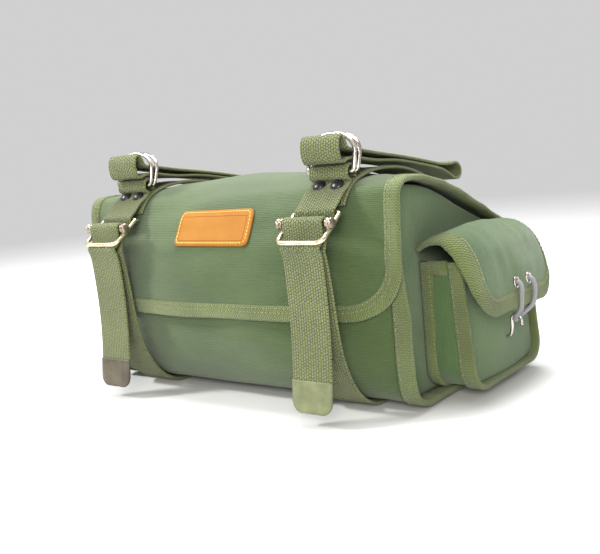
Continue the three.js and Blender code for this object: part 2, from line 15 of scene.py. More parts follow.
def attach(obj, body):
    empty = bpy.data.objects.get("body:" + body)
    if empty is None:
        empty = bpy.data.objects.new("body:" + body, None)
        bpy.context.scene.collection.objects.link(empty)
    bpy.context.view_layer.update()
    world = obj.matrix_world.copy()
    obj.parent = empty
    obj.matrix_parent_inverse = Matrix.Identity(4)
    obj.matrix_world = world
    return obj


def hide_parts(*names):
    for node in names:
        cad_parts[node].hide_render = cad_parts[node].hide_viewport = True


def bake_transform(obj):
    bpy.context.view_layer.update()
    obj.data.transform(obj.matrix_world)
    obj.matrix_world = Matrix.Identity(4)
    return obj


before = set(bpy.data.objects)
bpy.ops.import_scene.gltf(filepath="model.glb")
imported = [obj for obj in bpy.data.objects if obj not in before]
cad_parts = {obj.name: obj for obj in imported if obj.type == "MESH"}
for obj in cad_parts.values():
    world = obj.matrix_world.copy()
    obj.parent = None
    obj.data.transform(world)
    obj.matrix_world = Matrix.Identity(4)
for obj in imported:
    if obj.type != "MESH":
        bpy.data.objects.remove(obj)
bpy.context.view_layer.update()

# ---- driving dimensions, as in the CAD ----
MM = 0.001
CENTRE_Y = 9.983          # puts the middle of the whole bag at y = 0
HALF_WIDTH = 142.0
PANEL_X = 130.0
CANVAS = 2.2
TAPE = 11.0
CLOTH = 1.7               # visible thickness of the two largest sheets
GAP = 0.35
SWELL_POWER = 2.5
FLAP_CORNER = 37.0
STRAP_X = 92.0
STRAP_WIDTH = 30.0
WEBBING = 2.0
TOP_BAR = np.array([-89.0, 130.5])
LOWER_BAR = np.array([-110.5, 115.0])
POCKET_FRONT, POCKET_BACK = -36.0, 66.0
POCKET_OUT = 166.5
POCKET_DEPTH = 29.5
POCKET_TOP, POCKET_BOTTOM = 91.5, 6.9
POCKET_MIDDLE = (POCKET_FRONT + POCKET_BACK) / 2
LABEL_HALF = 34.0
LABEL_LOW = 49.0          # from the flap's lower edge
LABEL_TALL = 26.5
LABEL_LINE = 4.3          # pressed line's distance inside the label's edge
SIDES = {"right": 1, "left": -1}
BAG_MIDDLE = (0.0, 0.0, 70.0)
TINY = 1e-9               # keeps a length that is divided by above zero
CURVE_STEPS = 24          # points between two given points of a curve


# ---- meshes ----
def make_mesh(name, points, faces, uvs, material):
    """A mesh object from points in millimetres, with one UV per point, also in millimetres."""
    mesh = bpy.data.meshes.new(name)
    mesh.from_pydata(in_metres(points), [], faces)
    layer = mesh.uv_layers.new(name="cloth")
    corner = np.zeros(len(mesh.loops), np.int32)
    mesh.loops.foreach_get("vertex_index", corner)
    layer.data.foreach_set("uv", np.asarray(uvs, np.float32)[corner].ravel())
    work = bmesh.new()
    work.from_mesh(mesh)
    bmesh.ops.recalc_face_normals(work, faces=work.faces)
    work.to_mesh(mesh)
    work.free()
    mesh.polygons.foreach_set("use_smooth", [True] * len(mesh.polygons))
    made = bpy.data.objects.new(name, mesh)
    bpy.context.scene.collection.objects.link(made)
    mesh.materials.append(material)
    return made


def arc_lengths(points):
    """Length along a path from its start to each of its points."""
    steps = np.linalg.norm(np.diff(points, axis=0), axis=1)
    return np.concatenate([[0], np.cumsum(steps)])


def at_lengths(points, reach, lengths):
    """Points of a path at those lengths from its start; reach holds its arc lengths."""
    return np.stack([np.interp(lengths, reach, column) for column in points.T], axis=-1)


def evenly_spaced(points, count):
    """The same path as that many evenly spaced points."""
    reach = arc_lengths(points)
    return at_lengths(points, reach, np.linspace(0, reach[-1], count))


def unit(vectors):
    return vectors / np.linalg.norm(vectors, axis=-1, keepdims=True)


def outward_of(line):
    """Unit vectors a quarter turn to the left of a [y, z] line."""
    along = unit(np.gradient(line, axis=0))
    return np.stack([-along[:, 1], along[:, 0]], axis=1)


def xyz(x, y, z):
    return np.stack(np.broadcast_arrays(x, y, z), axis=-1)


def grid_faces(rows, columns, offset=0, wrap=False):
    """Quads of a grid whose points run row by row; wrap joins the last column to the first."""
    found = []
    for i in range(rows - 1):
        for j in range(columns if wrap else columns - 1):
            k = (j + 1) % columns
            found.append((offset + i * columns + j, offset + i * columns + k,
                          offset + (i + 1) * columns + k, offset + (i + 1) * columns + j))
    return found


def grid_normals(grid):
    """Unit normals of a grid of points, facing away from the middle of the bag."""
    along = np.gradient(grid, axis=0)
    across = np.gradient(grid, axis=1)
    n = np.cross(along, across)
    n /= np.maximum(np.linalg.norm(n, axis=2, keepdims=True), TINY)
    outwards = np.sum(n * (grid - BAG_MIDDLE), axis=2).mean()
    return n if outwards > 0 else -n


def sheet(name, grid, thickness, material, normals=None):
    """A closed sheet under a grid of outer points; its UVs are lengths along the two ways."""
    n = grid_normals(grid) if normals is None else normals
    rows, columns = grid.shape[:2]
    count = rows * columns
    points = np.concatenate([grid.reshape(-1, 3), (grid - n * thickness).reshape(-1, 3)])
    u = arc_lengths(grid[:, columns // 2])[:, None] * np.ones((1, columns))
    v = arc_lengths(grid[rows // 2])[None, :] * np.ones((rows, 1))
    uv = np.tile(np.stack([u, v], axis=2).reshape(-1, 2), (2, 1))
    faces = grid_faces(rows, columns) + [f[::-1] for f in grid_faces(rows, columns, count)]
    rim = [i * columns for i in range(rows)]
    rim += [(rows - 1) * columns + j for j in range(1, columns)]
    rim += [i * columns + columns - 1 for i in range(rows - 2, -1, -1)]
    rim += list(range(columns - 2, 0, -1))
    for a, b in zip(rim, rim[1:] + rim[:1]):
        faces.append((a, b, b + count, a + count))
    return make_mesh(name, points, faces, uv, material)


def sweep(name, rings, material, closed=False, uvs=None):
    """A closed skin over rings of points: rings[i, j] is point j of the section at step i."""
    steps, around = rings.shape[:2]
    faces = grid_faces(steps, around, wrap=True)
    if closed:
        last = (steps - 1) * around
        for j in range(around):
            k = (j + 1) % around
            faces.append((last + j, last + k, k, j))
    else:
        faces.append(tuple(range(around)))
        faces.append(tuple((steps - 1) * around + j for j in range(around)))
    if uvs is None:
        u = arc_lengths(rings[steps // 2])[None, :] * np.ones((steps, 1))
        v = arc_lengths(rings.mean(axis=1))[:, None] * np.ones((1, around))
        uvs = np.stack([u, v], axis=2)
    return make_mesh(name, rings.reshape(-1, 3), faces, uvs.reshape(-1, 2), material)


def joined(name, parts):
    """One object from several that share a material."""
    bpy.ops.object.select_all(action="DESELECT")
    for part in parts:
        part.select_set(True)
    bpy.context.view_layer.objects.active = parts[0]
    bpy.ops.object.join()
    parts[0].name = name
    return parts[0]


ANY_WAY = (0.31, 0.52, 0.79)    # a direction that no wire here starts along


def wire_rings(path, radius, sides=14, closed=False):
    """Rings of a round wire along a 3-D path."""
    path = np.asarray(path, float)
    if closed:
        along = np.roll(path, -1, axis=0) - np.roll(path, 1, axis=0)
    else:
        along = np.gradient(path, axis=0)
    side = np.cross(unit(along)[0], ANY_WAY)
    turn = np.linspace(0, 2 * math.pi, sides, endpoint=False)[:, None]
    rings = []
    for point, way in zip(path, unit(along)):
        side = unit(side - way * (side @ way))
        up = np.cross(way, side)
        rings.append(point + radius * (np.cos(turn) * side + np.sin(turn) * up))
    return np.array(rings)


STITCH_PROFILE = [(0.0, 0.12), (0.12, 0.75), (0.5, 1.0), (0.88, 0.75), (1.0, 0.12)]    # (share, fatness)
STITCH_SIDES = 6


def stitches(name, path, normals, material, length=2.3, pitch=3.2, radius=0.34):
    """A run of separate stitches lying along a path."""
    reach = arc_lengths(path)
    points, faces = [], []
    for start in np.arange(pitch / 2, reach[-1] - length, pitch):
        first, last = at_lengths(path, reach, np.array([start, start + length]))
        up = at_lengths(normals, reach, start)
        side = np.cross(last - first, up)
        side /= max(np.linalg.norm(side), TINY)
        base = len(points)
        for share, fat in STITCH_PROFILE:
            middle = first + (last - first) * share + up * radius * (0.5 * fat - 0.1)
            for k in range(STITCH_SIDES):
                a = k * 2 * math.pi / STITCH_SIDES
                points.append(middle + radius * fat * (side * math.cos(a) + up * math.sin(a)))
        faces += grid_faces(len(STITCH_PROFILE), STITCH_SIDES, base, wrap=True)
        faces.append(tuple(range(base, base + STITCH_SIDES)))
        faces.append(tuple(range(len(points) - STITCH_SIDES, len(points))))
    return make_mesh(name, points, faces, np.zeros((len(points), 2)), material)


def stitch_row(name, count, place, inward, height):
    """Stitches along a tape; place(rows, inward, height) gives its points, as for folded_tape."""
    rows = np.arange(count)
    line = place(rows, inward, height)
    return stitches(name, line, place(rows, inward, height + 1) - line, materials["thread"])


# ---- curves ----
class Curve:
    """Catmull-Rom curve through points, read by its share of length."""

    def __init__(self, points):
        p = np.array([points[0], *points, points[-1]], float)
        t = np.linspace(0, 1, CURVE_STEPS, endpoint=False)[:, None]
        dense = []
        for a, b, c, d in zip(p[:-3], p[1:-2], p[2:-1], p[3:]):
            dense.append(0.5 * (2 * b + (c - a) * t + (2 * a - 5 * b + 4 * c - d) * t**2
                                + (3 * b - 3 * c + d - a) * t**3))
        self.points = np.concatenate(dense + [p[-1:]])
        self.reach = arc_lengths(self.points)
        self.length = self.reach[-1]

    def at(self, t):
        return at_lengths(self.points, self.reach, np.clip(t, 0, 1) * self.length)


def smooth_path(points, count):
    return Curve(points).at(np.linspace(0, 1, count))


def arc(cy, cz, radius, start, end, count):
    """Points of a circle's arc between two angles in degrees."""
    a = np.radians(np.linspace(start, end, count))
    return np.stack([cy + radius * np.cos(a), cz + radius * np.sin(a)], axis=-1)


NEARBY = 0.004    # share of an outline over which its direction is taken


class Profile:
    """An outline across the bag, blended from its end shape to its stuffed middle shape."""

    def __init__(self, end, middle, side):
        self.end, self.middle, self.side = Curve(end), Curve(middle), side
        self.length = (self.end.length + self.middle.length) / 2

    def at(self, swell, t, lift=0.0):
        """[y, z] at a share t of the outline, lifted off it outwards."""
        here = self.blended(swell, t)
        ahead = self.blended(swell, np.minimum(1, t + NEARBY))
        along = unit(ahead - self.blended(swell, np.maximum(0, t - NEARBY)))
        lift = np.asarray(lift, float) * self.side
        return np.stack([here[..., 0] - along[..., 1] * lift, here[..., 1] + along[..., 0] * lift], axis=-1)

    def blended(self, swell, t):
        swell = np.asarray(swell, float)[..., None]
        return self.end.at(t) * (1 - swell) + self.middle.at(t) * swell


wrap_profile = Profile(
    [[-71, 116], [-71.5, 90], [-72, 60], [-71.5, 25], [-67, 9.4], [-55, 2.9], [-40, 2.2],
     [0, 2.2], [45, 2.2], [64, 3.8], [78, 12], [84, 28], [85, 58], [85, 91]],
    [[-89, 112], [-91, 90], [-91.5, 62], [-89, 42], [-83, 25], [-73, 11.5], [-60, 4.8],
     [-42, 3.2], [0, 3.2], [47, 3.2], [67, 5], [81, 13], [88, 30], [89.5, 60], [87, 91]], -1)
flap_profile = Profile(
    [[-78, 61], [-77.5, 80], [-76.5, 100], [-75.5, 120], [-74, 137], [-69, 145], [-58, 147.3],
     [-40, 146], [-19, 142], [0, 135.5], [22, 126], [45, 117], [66, 109], [79, 102], [86, 95.5]],
    [[-96.5, 61], [-98.5, 75], [-98, 90], [-94.5, 106], [-88.5, 120], [-80.5, 133], [-67, 144.5],
     [-48, 151.5], [-25, 154], [0, 152.5], [24, 146], [46, 135], [66, 120.5], [79, 107], [87, 96]], 1)
pocket_flap_profile = Profile(
    [[130.7, 99.5], [137.5, 104.2], [145.5, 105.4], [151, 103.4], [157, 96.5], [164, 86], [170, 76],
     [173.4, 66], [174.4, 55]],
    [[130.7, 102], [138.5, 108], [148, 111], [157, 110], [165, 105.5], [171.5, 97],
     [175, 86], [176.6, 71], [176, 54]], 1)


def swell_at(x):
    """How stuffed the bag is at x: 1 in its middle and 0 at the end panels."""
    return 1 - np.minimum(1, np.abs(x) / PANEL_X) ** SWELL_POWER


def on_surface(profile, x, t, lift=0.0):
    x, t, lift = (np.asarray(v, float) for v in np.broadcast_arrays(x, t, lift))
    flat = profile.at(swell_at(x), t, lift)
    return np.stack([x, flat[..., 0], flat[..., 1]], axis=-1)


# ---- how the cloth is creased and pressed ----
def rumple(a, b, size, seed):
    """Smooth noise between -1 and 1 that repeats nothing within the bag."""
    a, b = np.broadcast_arrays(np.asarray(a, float) / size, np.asarray(b, float) / size)
    flat = [noise.noise(Vector((p, q, seed * 7.31))) for p, q in zip(a.ravel(), b.ravel())]
    return np.array(flat).reshape(a.shape)


def under_strap(x, spread=16.0):
    """1 under the middle of either strap set, falling to 0 beside it."""
    return np.exp(-((np.abs(x) - STRAP_X) / spread) ** 4)


def flap_relief(x, s):
    """How far the flap's cloth stands off its plain shape at x and s up from its lower edge."""
    wide = rumple(x, s * 1.6, 70, 1) * 2.2
    fine = rumple(x * 0.8, s * 2.2, 26, 2) * 0.8
    pull = np.cos(s / 9.5 + np.abs(x) / 40) * np.exp(-((np.abs(x) - STRAP_X + 24) / 14) ** 2) * 0.45
    pressed = under_strap(x) * np.clip((s - 60) / 20, 0, 1)
    return (wide + fine + pull) * (1 - 0.9 * pressed) - 0.5 * pressed


def wrap_relief(x, t):
    """How far the body's cloth stands off its plain shape; its floor and the strapped parts stay flat."""
    low = np.clip(1 - np.abs(t - 0.52) / 0.3, 0, 1)
    wide = rumple(x, t * 420, 75, 3) * 2.0
    fine = rumple(x * 0.7, t * 800, 28, 4) * 0.7
    calm = 1 - 0.95 * np.maximum(low, under_strap(x, 18) * (np.abs(t - 0.5) < 0.4))
    edge = np.clip((PANEL_X - np.abs(x)) / 15, 0, 1)
    return (wide + fine) * calm * edge


# ---- materials ----
class Nodes:
    """A material's node tree with short calls for the nodes used here.

    An input named i0, i1 and so on is fed by its number, and any other by its name.
    """

    def __init__(self, name):
        self.material = bpy.data.materials.new(name)
        self.material.use_nodes = True
        self.tree = self.material.node_tree
        self.shader = self.tree.nodes["Principled BSDF"]

    def add(self, kind, settings=None, **inputs):
        node = self.tree.nodes.new(kind)
        for key, value in (settings or {}).items():
            setattr(node, key, value)
        for key, value in inputs.items():
            numbered = key[0] == "i" and key[1:].isdigit()
            self.feed(node.inputs[int(key[1:]) if numbered else key], value)
        return node

    def feed(self, socket, value):
        if isinstance(value, bpy.types.NodeSocket):
            self.tree.links.new(value, socket)
        else:
            socket.default_value = value

    def math(self, operation, a, b=0.0, clamp=False):
        settings = {"operation": operation, "use_clamp": clamp}
        return self.add("ShaderNodeMath", settings, i0=a, i1=b).outputs[0]

    def plus(self, a, b):
        return self.math("ADD", a, b)

    def minus(self, a, b, clamp=False):
        return self.math("SUBTRACT", a, b, clamp)

    def times(self, a, b, clamp=False):
        return self.math("MULTIPLY", a, b, clamp)

    def weighted(self, *terms):
        """Sum of values, each times its weight."""
        parts = [self.times(value, weight) for value, weight in terms]
        total = parts[0]
        for part in parts[1:]:
            total = self.plus(total, part)
        return total

    def wave(self, place, pitch):
        return self.math("SINE", self.times(place, 2 * math.pi / pitch))

    def uv(self):
        split = self.add("ShaderNodeSeparateXYZ", i0=self.add("ShaderNodeUVMap").outputs[0])
        return split.outputs[0], split.outputs[1]

    def vector(self, x, y):
        return self.add("ShaderNodeCombineXYZ", i0=x, i1=y).outputs[0]

    def noise(self, vector, scale, detail=3.0, rough=0.55):
        made = self.add("ShaderNodeTexNoise", Vector=vector, Scale=scale, Detail=detail, Roughness=rough)
        return made.outputs[0]

    def place(self):
        return self.add("ShaderNodeTexCoord").outputs["Object"]

    def ramp(self, factor, stops):
        made = self.add("ShaderNodeValToRGB", Fac=factor)
        while len(made.color_ramp.elements) < len(stops):
            made.color_ramp.elements.new(0.5)
        for element, (where, colour) in zip(made.color_ramp.elements, stops):
            element.position = where
            element.color = (*colour, 1)
        return made.outputs[0]

    def mix(self, factor, a, b):
        made = self.add("ShaderNodeMix", {"data_type": "RGBA"}, i0=factor)
        for number, colour in ((6, a), (7, b)):
            made_here = isinstance(colour, bpy.types.NodeSocket)
            self.feed(made.inputs[number], colour if made_here else (*colour, 1))
        return made.outputs[2]

    def bump(self, height, distance, strength):
        return self.add("ShaderNodeBump", Height=height, Distance=distance, Strength=strength).outputs[0]

    def finish(self, colour, roughness, normal=None, metallic=0.0, **fixed):
        self.feed(self.shader.inputs["Base Color"], colour)
        self.feed(self.shader.inputs["Roughness"], roughness)
        self.shader.inputs["Metallic"].default_value = metallic
        if normal:
            self.feed(self.shader.inputs["Normal"], normal)
        for key, value in fixed.items():
            self.shader.inputs[key.replace("_", " ")].default_value = value
        return self.material

    def cotton(self, colour, roughness, normal, sheen, specular):
        return self.finish(colour, roughness, normal, Sheen_Weight=sheen, Sheen_Roughness=0.6,
                           Specular_IOR_Level=specular)


def linear(red, green, blue):
    """A colour given in the usual 0 to 255 steps, as Blender's linear values."""
    return tuple((c / 255) ** 2.2 for c in (red, green, blue))


def canvas_material(name, dark, light, turned=False):
    """Ribbed cotton canvas: fine ribs across the bag, slubs along them and faint mottling."""
    n = Nodes(name)
    u, v = n.uv()
    if turned:
        u, v = v, u
    ribs = n.wave(v, 1.3)
    slub = n.noise(n.vector(n.times(u, 0.09), n.times(v, 0.8)), 1.0, 2.0)
    grain = n.noise(n.vector(u, v), 1.1, 3.0, 0.7)
    cloud = n.noise(n.place(), 14.0, 3.0)
    height = n.weighted((ribs, 0.2), (slub, 0.55), (grain, 1.0))
    tone = n.weighted((height, 0.4), (cloud, 0.5))
    colour = n.ramp(n.minus(tone, 0.12), [(0.2, dark), (0.75, light)])
    return n.cotton(colour, 0.93, n.bump(height, 0.0005, 0.7), 0.25, 0.2)


def tape_material(name, dark, light):
    """Cotton twill tape: close diagonal lines with a dusty nap."""
    n = Nodes(name)
    u, v = n.uv()
    twill = n.wave(n.plus(u, v), 1.9)
    across = n.wave(v, 1.6)
    grain = n.noise(n.vector(u, v), 1.3, 3.0)
    cloud = n.noise(n.place(), 22.0, 3.0)
    height = n.weighted((twill, 0.3), (across, 0.2), (grain, 1.0))
    tone = n.weighted((height, 0.38), (cloud, 0.55))
    colour = n.ramp(n.minus(tone, 0.1), [(0.18, dark), (0.72, light)])
    return n.cotton(colour, 0.95, n.bump(height, 0.0007, 1.0), 0.25, 0.15)


def webbing_material(name, painted_gap_shade, dark, light):
    """Heavy cotton webbing: raised yarn floats in columns, stepped to make a broken twill, with painted shade
    darkening the gaps between the floats.
    """
    n = Nodes(name)
    u, v = n.uv()
    column = n.math("DIVIDE", u, 1.9)
    number = n.math("FLOOR", column)
    zigzag = n.math("PINGPONG", number, 2.0)
    wobble = n.noise(n.vector(n.times(u, 0.3), n.times(v, 0.3)), 1.0, 2.0)
    along = n.plus(n.math("DIVIDE", v, 2.05), n.times(zigzag, 0.42))
    along = n.plus(along, n.times(wobble, 1.4))
    bulge_u = n.math("SINE", n.times(n.math("FRACT", column), math.pi))
    bulge_v = n.math("SINE", n.times(n.math("FRACT", along), math.pi))
    lump = n.math("POWER", n.times(bulge_u, bulge_v), 0.45)
    grain = n.noise(n.vector(u, v), 1.8, 2.0)
    cloud = n.noise(n.place(), 30.0, 3.0)
    height = n.plus(lump, n.times(grain, 0.35))
    yarn = n.ramp(n.weighted((grain, 0.5), (cloud, 0.5)), [(0.3, dark), (0.7, light)])
    # painted shade: the colour falls to the dark gap colour where the yarn lumps are low, between the floats
    colour = n.mix(n.times(n.minus(lump, 0.12), 1.6, True), painted_gap_shade, yarn)
    return n.cotton(colour, 0.92, n.bump(height, 0.0009, 1.0), 0.2, 0.2)


def thread_material(name, dark, light):
    """Dull sewing thread."""
    n = Nodes(name)
    tone = n.noise(n.place(), 400.0, 2.0)
    colour = n.ramp(tone, [(0.3, dark), (0.7, light)])
    return n.finish(colour, 0.85, n.bump(tone, 0.0002, 0.5), Sheen_Weight=0.2)


def leather_material(name):
    """Smooth tan leather with fine pores and a pressed frame line just inside its stitches."""
    n = Nodes(name)
    pores = n.noise(n.place(), 900.0, 4.0)
    cloud = n.noise(n.place(), 45.0, 3.0)
    u, v = n.uv()
    across = n.math("ABSOLUTE", n.minus(u, LABEL_HALF))
    upwards = n.math("ABSOLUTE", n.minus(v, LABEL_TALL / 2))
    to_side = n.minus(LABEL_HALF - LABEL_LINE, across)
    to_end = n.minus(LABEL_TALL / 2 - LABEL_LINE, upwards)
    line = n.math("ABSOLUTE", n.math("MINIMUM", to_side, to_end))
    pressed = n.minus(1.0, n.times(line, 2.2), True)
    tone = n.weighted((pores, 0.35), (cloud, 0.65))
    tan = n.ramp(tone, [(0.3, linear(140, 88, 14)), (0.7, linear(156, 104, 22))])
    colour = n.mix(n.times(pressed, 0.6), tan, linear(128, 72, 20))
    height = n.minus(n.times(pores, 0.25), pressed)
    rough = n.plus(0.55, n.times(pores, 0.2))
    return n.finish(colour, rough, n.bump(height, 0.0004, 0.7), Specular_IOR_Level=0.3)


def metal_material(name, dark, light, roughness):
    """Plated metal with faint clouding and hairline wear."""
    n = Nodes(name)
    cloud = n.noise(n.place(), 120.0, 4.0)
    scratch = n.noise(n.place(), 1500.0, 2.0)
    colour = n.ramp(cloud, [(0.35, dark), (0.65, light)])
    rough = n.plus(roughness, n.times(cloud, 0.16))
    return n.finish(colour, rough, n.bump(scratch, 0.00005, 0.35), metallic=1.0)


def gloss_material(name, dark, light, roughness):
    """Painted metal or vinyl: even colour with slight mottling and a soft gloss."""
    n = Nodes(name)
    cloud = n.noise(n.place(), 90.0, 4.0)
    fine = n.noise(n.place(), 700.0, 3.0)
    colour = n.ramp(cloud, [(0.3, dark), (0.7, light)])
    rough = n.plus(roughness, n.times(fine, 0.2))
    return n.finish(colour, rough, n.bump(fine, 0.00012, 0.5))


def elastic_material(name):
    """Elastic cord with its braided cover."""
    n = Nodes(name)
    u, v = n.uv()
    braid = n.math("SINE", n.times(n.plus(u, n.times(v, 1.4)), 5.0))
    cross = n.math("SINE", n.times(n.minus(u, n.times(v, 1.4)), 5.0))
    height = n.times(n.plus(braid, cross), 0.25)
    colour = n.ramp(n.plus(height, 0.5), [(0.1, linear(92, 92, 98)), (0.8, linear(160, 160, 166))])
    return n.finish(colour, 0.75, n.bump(height, 0.0002, 0.8), Sheen_Weight=0.2)


materials = {
    "canvas": canvas_material("canvas", linear(42, 60, 29), linear(80, 97, 57)),
    "canvas_end": canvas_material("canvas_end", linear(48, 72, 38), linear(90, 114, 68), turned=True),
    "tape": tape_material("binding_tape", linear(72, 82, 42), linear(122, 135, 80)),
    # webbing: its first colour is painted shade for the gaps between the yarn floats
    "webbing": webbing_material("webbing", linear(38, 46, 22), linear(90, 99, 58), linear(122, 129, 80)),
    "thread": thread_material("thread", linear(92, 104, 62), linear(134, 142, 94)),
    "thread_tan": thread_material("thread_tan", linear(236, 190, 110), linear(250, 214, 140)),
    "leather": leather_material("leather"),
    "brass": metal_material("pale_brass", linear(206, 194, 160), linear(240, 230, 200), 0.2),
    "nickel": metal_material("nickel", linear(176, 166, 158), linear(228, 220, 212), 0.16),
    "dull_nickel": metal_material("dull_nickel", linear(128, 118, 104), linear(176, 164, 148), 0.3),
    "black": gloss_material("black_metal", linear(18, 18, 22), linear(40, 40, 46), 0.22),
    "vinyl_left": gloss_material("vinyl_brown", linear(66, 60, 48), linear(96, 88, 70), 0.3),
    "vinyl_right": gloss_material("vinyl_olive", linear(88, 94, 64), linear(118, 122, 88), 0.32),
    "elastic": elastic_material("elastic"),
    "board": gloss_material("base_board", linear(34, 34, 34), linear(52, 52, 52), 0.6),
}


# ---- joining pieces to the frame ----
def in_metres(points):
    return ((np.asarray(points, float) + (0, CENTRE_Y, 0)) * MM).tolist()


def place_on(piece, body, slot, *nodes):
    """Rides a finished piece on its body and hides the CAD parts it stands in for; slot is not used."""
    if nodes:
        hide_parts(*nodes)
    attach(piece, body)


def bends(piece, first, second, start, end, slot, *nodes):
    """Bakes a finished piece's placement into its mesh and hides the CAD parts it stands in for; the piece is
    not bent, and first, second, start, end and slot are not used.
    """
    if nodes:
        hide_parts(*nodes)
    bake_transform(piece)


def folded_section(width, thick):
    """Section of tape wrapped over a cloth edge of that thickness, as (inward, height) pairs."""
    top = [(width, 0.05), (width - 0.35, 0.62), (width * 0.6, 0.85), (width * 0.22, 0.9),
           (1.0, 0.75), (0.25, 0.1)]
    nose = [(-0.15, -thick * 0.5)]
    under = [(0.25, -thick - 0.1), (1.0, -thick - 0.75), (width * 0.5, -thick - 0.7),
             (width - 0.35, -thick - 0.6), (width, -thick - 0.05)]
    return np.array(top + nose + under)


def folded_tape(name, path, place, width=TAPE, thick=CANVAS, seed=11):
    """Tape over an edge. place(index, inward, height) gives points for whole rows of the path."""
    section = folded_section(width, thick)
    rows = np.arange(len(path))
    puff = 1 + 0.25 * rumple(rows[:, None] * 3.0, section[None, :, 0], 9, seed)
    rings = place(rows[:, None], section[None, :, 0], section[None, :, 1] * puff)
    return sweep(name, rings, materials["tape"])


# ---- body ----
SEAM_REACH = 12.0             # from the edge of a bound seam to where its waviness ends
END_FRONT, END_BACK = -69.4, 82.2    # y of an end panel's front and back edges


def build_wrap():
    """Front, bottom and back of the body in one sheet, and the tape along its front edge."""
    x = np.linspace(-PANEL_X + GAP, PANEL_X - GAP, 110)[:, None]
    t = np.linspace(0.006, 1, 150)[None, :]
    grid = on_surface(wrap_profile, x, t, wrap_relief(x, t))
    wrap = sheet("main_wrap_cloth", grid, CLOTH, materials["canvas"])
    place_on(wrap, "bag_body", "canvas", "main_wrap")

    x = np.linspace(-PANEL_X + GAP, PANEL_X - GAP, 90)

    def place(i, inward, height):
        lift = height + wrap_relief(x[i], 0.01)
        return on_surface(wrap_profile, x[i], inward / wrap_profile.length, lift)

    tape = folded_tape("mouth_tape", x, place, thick=1.8)
    place_on(tape, "bag_body", "binding_tape", "mouth_binding")


def build_ends():
    """Bound seams at both ends and the recessed end panels."""
    t = np.linspace(0.02, 0.985, 190)
    for side, s in SIDES.items():
        wave = rumple(t * 300, s * 50.0, 30, 5) * 0.9

        def place(i, inward, height):
            lean = wave[i] * (1 - inward / SEAM_REACH) + 0.2
            tuck = 5.5 * np.clip(1 - t[i] / 0.15, 0, 1) ** 0.7    # the seam draws in under the flap
            x = HALF_WIDTH - inward * (1 - tuck / SEAM_REACH) - tuck
            return on_surface(wrap_profile, s * x, t[i], height + lean)

        tape = folded_tape(f"end_seam_tape_{side}", t, place, width=11.8, thick=2.8, seed=12)
        place_on(tape, "bag_body", "binding_tape", f"body_binding_{side}")
        thread = stitch_row(f"end_seam_stitches_{side}", len(t), place, 9.9, 0.72)
        place_on(thread, "bag_body", "thread")
        build_end_panel(side, s)


def build_end_panel(side, s):
    """End panel set back inside the bound seam, slack round the pocket and flat behind it."""
    y = np.linspace(END_FRONT, END_BACK, 50)
    low_line = wrap_profile.at(0.0, np.linspace(0.1, 0.98, 400), -3.2)
    low_line = np.array(sorted(low_line[low_line[:, 1] < 60].tolist()))
    low = np.interp(y, *low_line.T)[:, None]
    high_line = flap_profile.at(0.0, np.linspace(0.3, 0.97, 200), -4.2)
    high = np.interp(y, *high_line.T)[:, None]
    v = np.linspace(0, 1, 56)[None, :]
    z = low * (1 - v) + high * v
    y = np.repeat(y[:, None], v.size, axis=1)
    edge = np.minimum(np.clip((y - END_FRONT) / 18, 0, 1), np.clip((END_BACK - y) / 18, 0, 1))
    edge = edge * np.clip((1 - v) * 5, 0, 1)
    bulge = (rumple(y, z, 34, 6 + s) * 1.6 + rumple(y * 1.5, z * 0.7, 15, 8) * 0.6) * edge
    beside = (np.abs(y - POCKET_MIDDLE) - 50) / 8
    above = np.clip((z - 92) / 8, 0, 1)
    x = PANEL_X - 0.4 + bulge * np.clip(beside + above, 0, 1)
    grid = xyz(s * x, y, z)
    panel = sheet(f"end_panel_cloth_{side}", grid, 1.6, materials["canvas_end"])
    place_on(panel, "bag_body", "canvas", f"end_panel_{side}")


# ---- main flap ----
def rounded_half(half, corner, s):
    """Half width of an outline with rounded lower corners, at s above its lower edge."""
    s = np.asarray(s, float)
    round_part = np.sqrt(np.maximum(corner**2 - (corner - s) ** 2, 0))
    return np.where(s >= corner, half, half - corner + round_part)


def edge_path(half, corner, top, up_steps, turn_steps, low_steps):
    """Free edge of a flap from top left to top right: rows of x, s and the edge's outward way."""
    left = [(-half, s, -1.0, 0.0) for s in np.linspace(top, corner, up_steps, endpoint=False)]
    straight = half - corner
    turn = [(-(straight + corner * math.sin(a)), corner * (1 - math.cos(a)), -math.sin(a), -math.cos(a))
            for a in np.linspace(math.pi / 2, 0, turn_steps)]
    low = [(x, 0.0, 0.0, -1.0) for x in np.linspace(-straight, straight, low_steps)[1:-1]]
    half_way = left + turn
    return np.array(half_way + low + [(-x, s, -nx, ns) for x, s, nx, ns in reversed(half_way)])


FLAP_LENGTH = flap_profile.length


def flap_point(x, s, lift=0.0):
    """A point of the flap; s past its length runs on down the bag's back."""
    past = np.maximum(np.asarray(s, float) - FLAP_LENGTH, 0)
    relief = flap_relief(x, s) * np.clip((FLAP_LENGTH - s) / 25, 0, 1)
    p = on_surface(flap_profile, x, np.minimum(s / FLAP_LENGTH, 1), lift + relief)
    p[..., 2] -= past
    return p


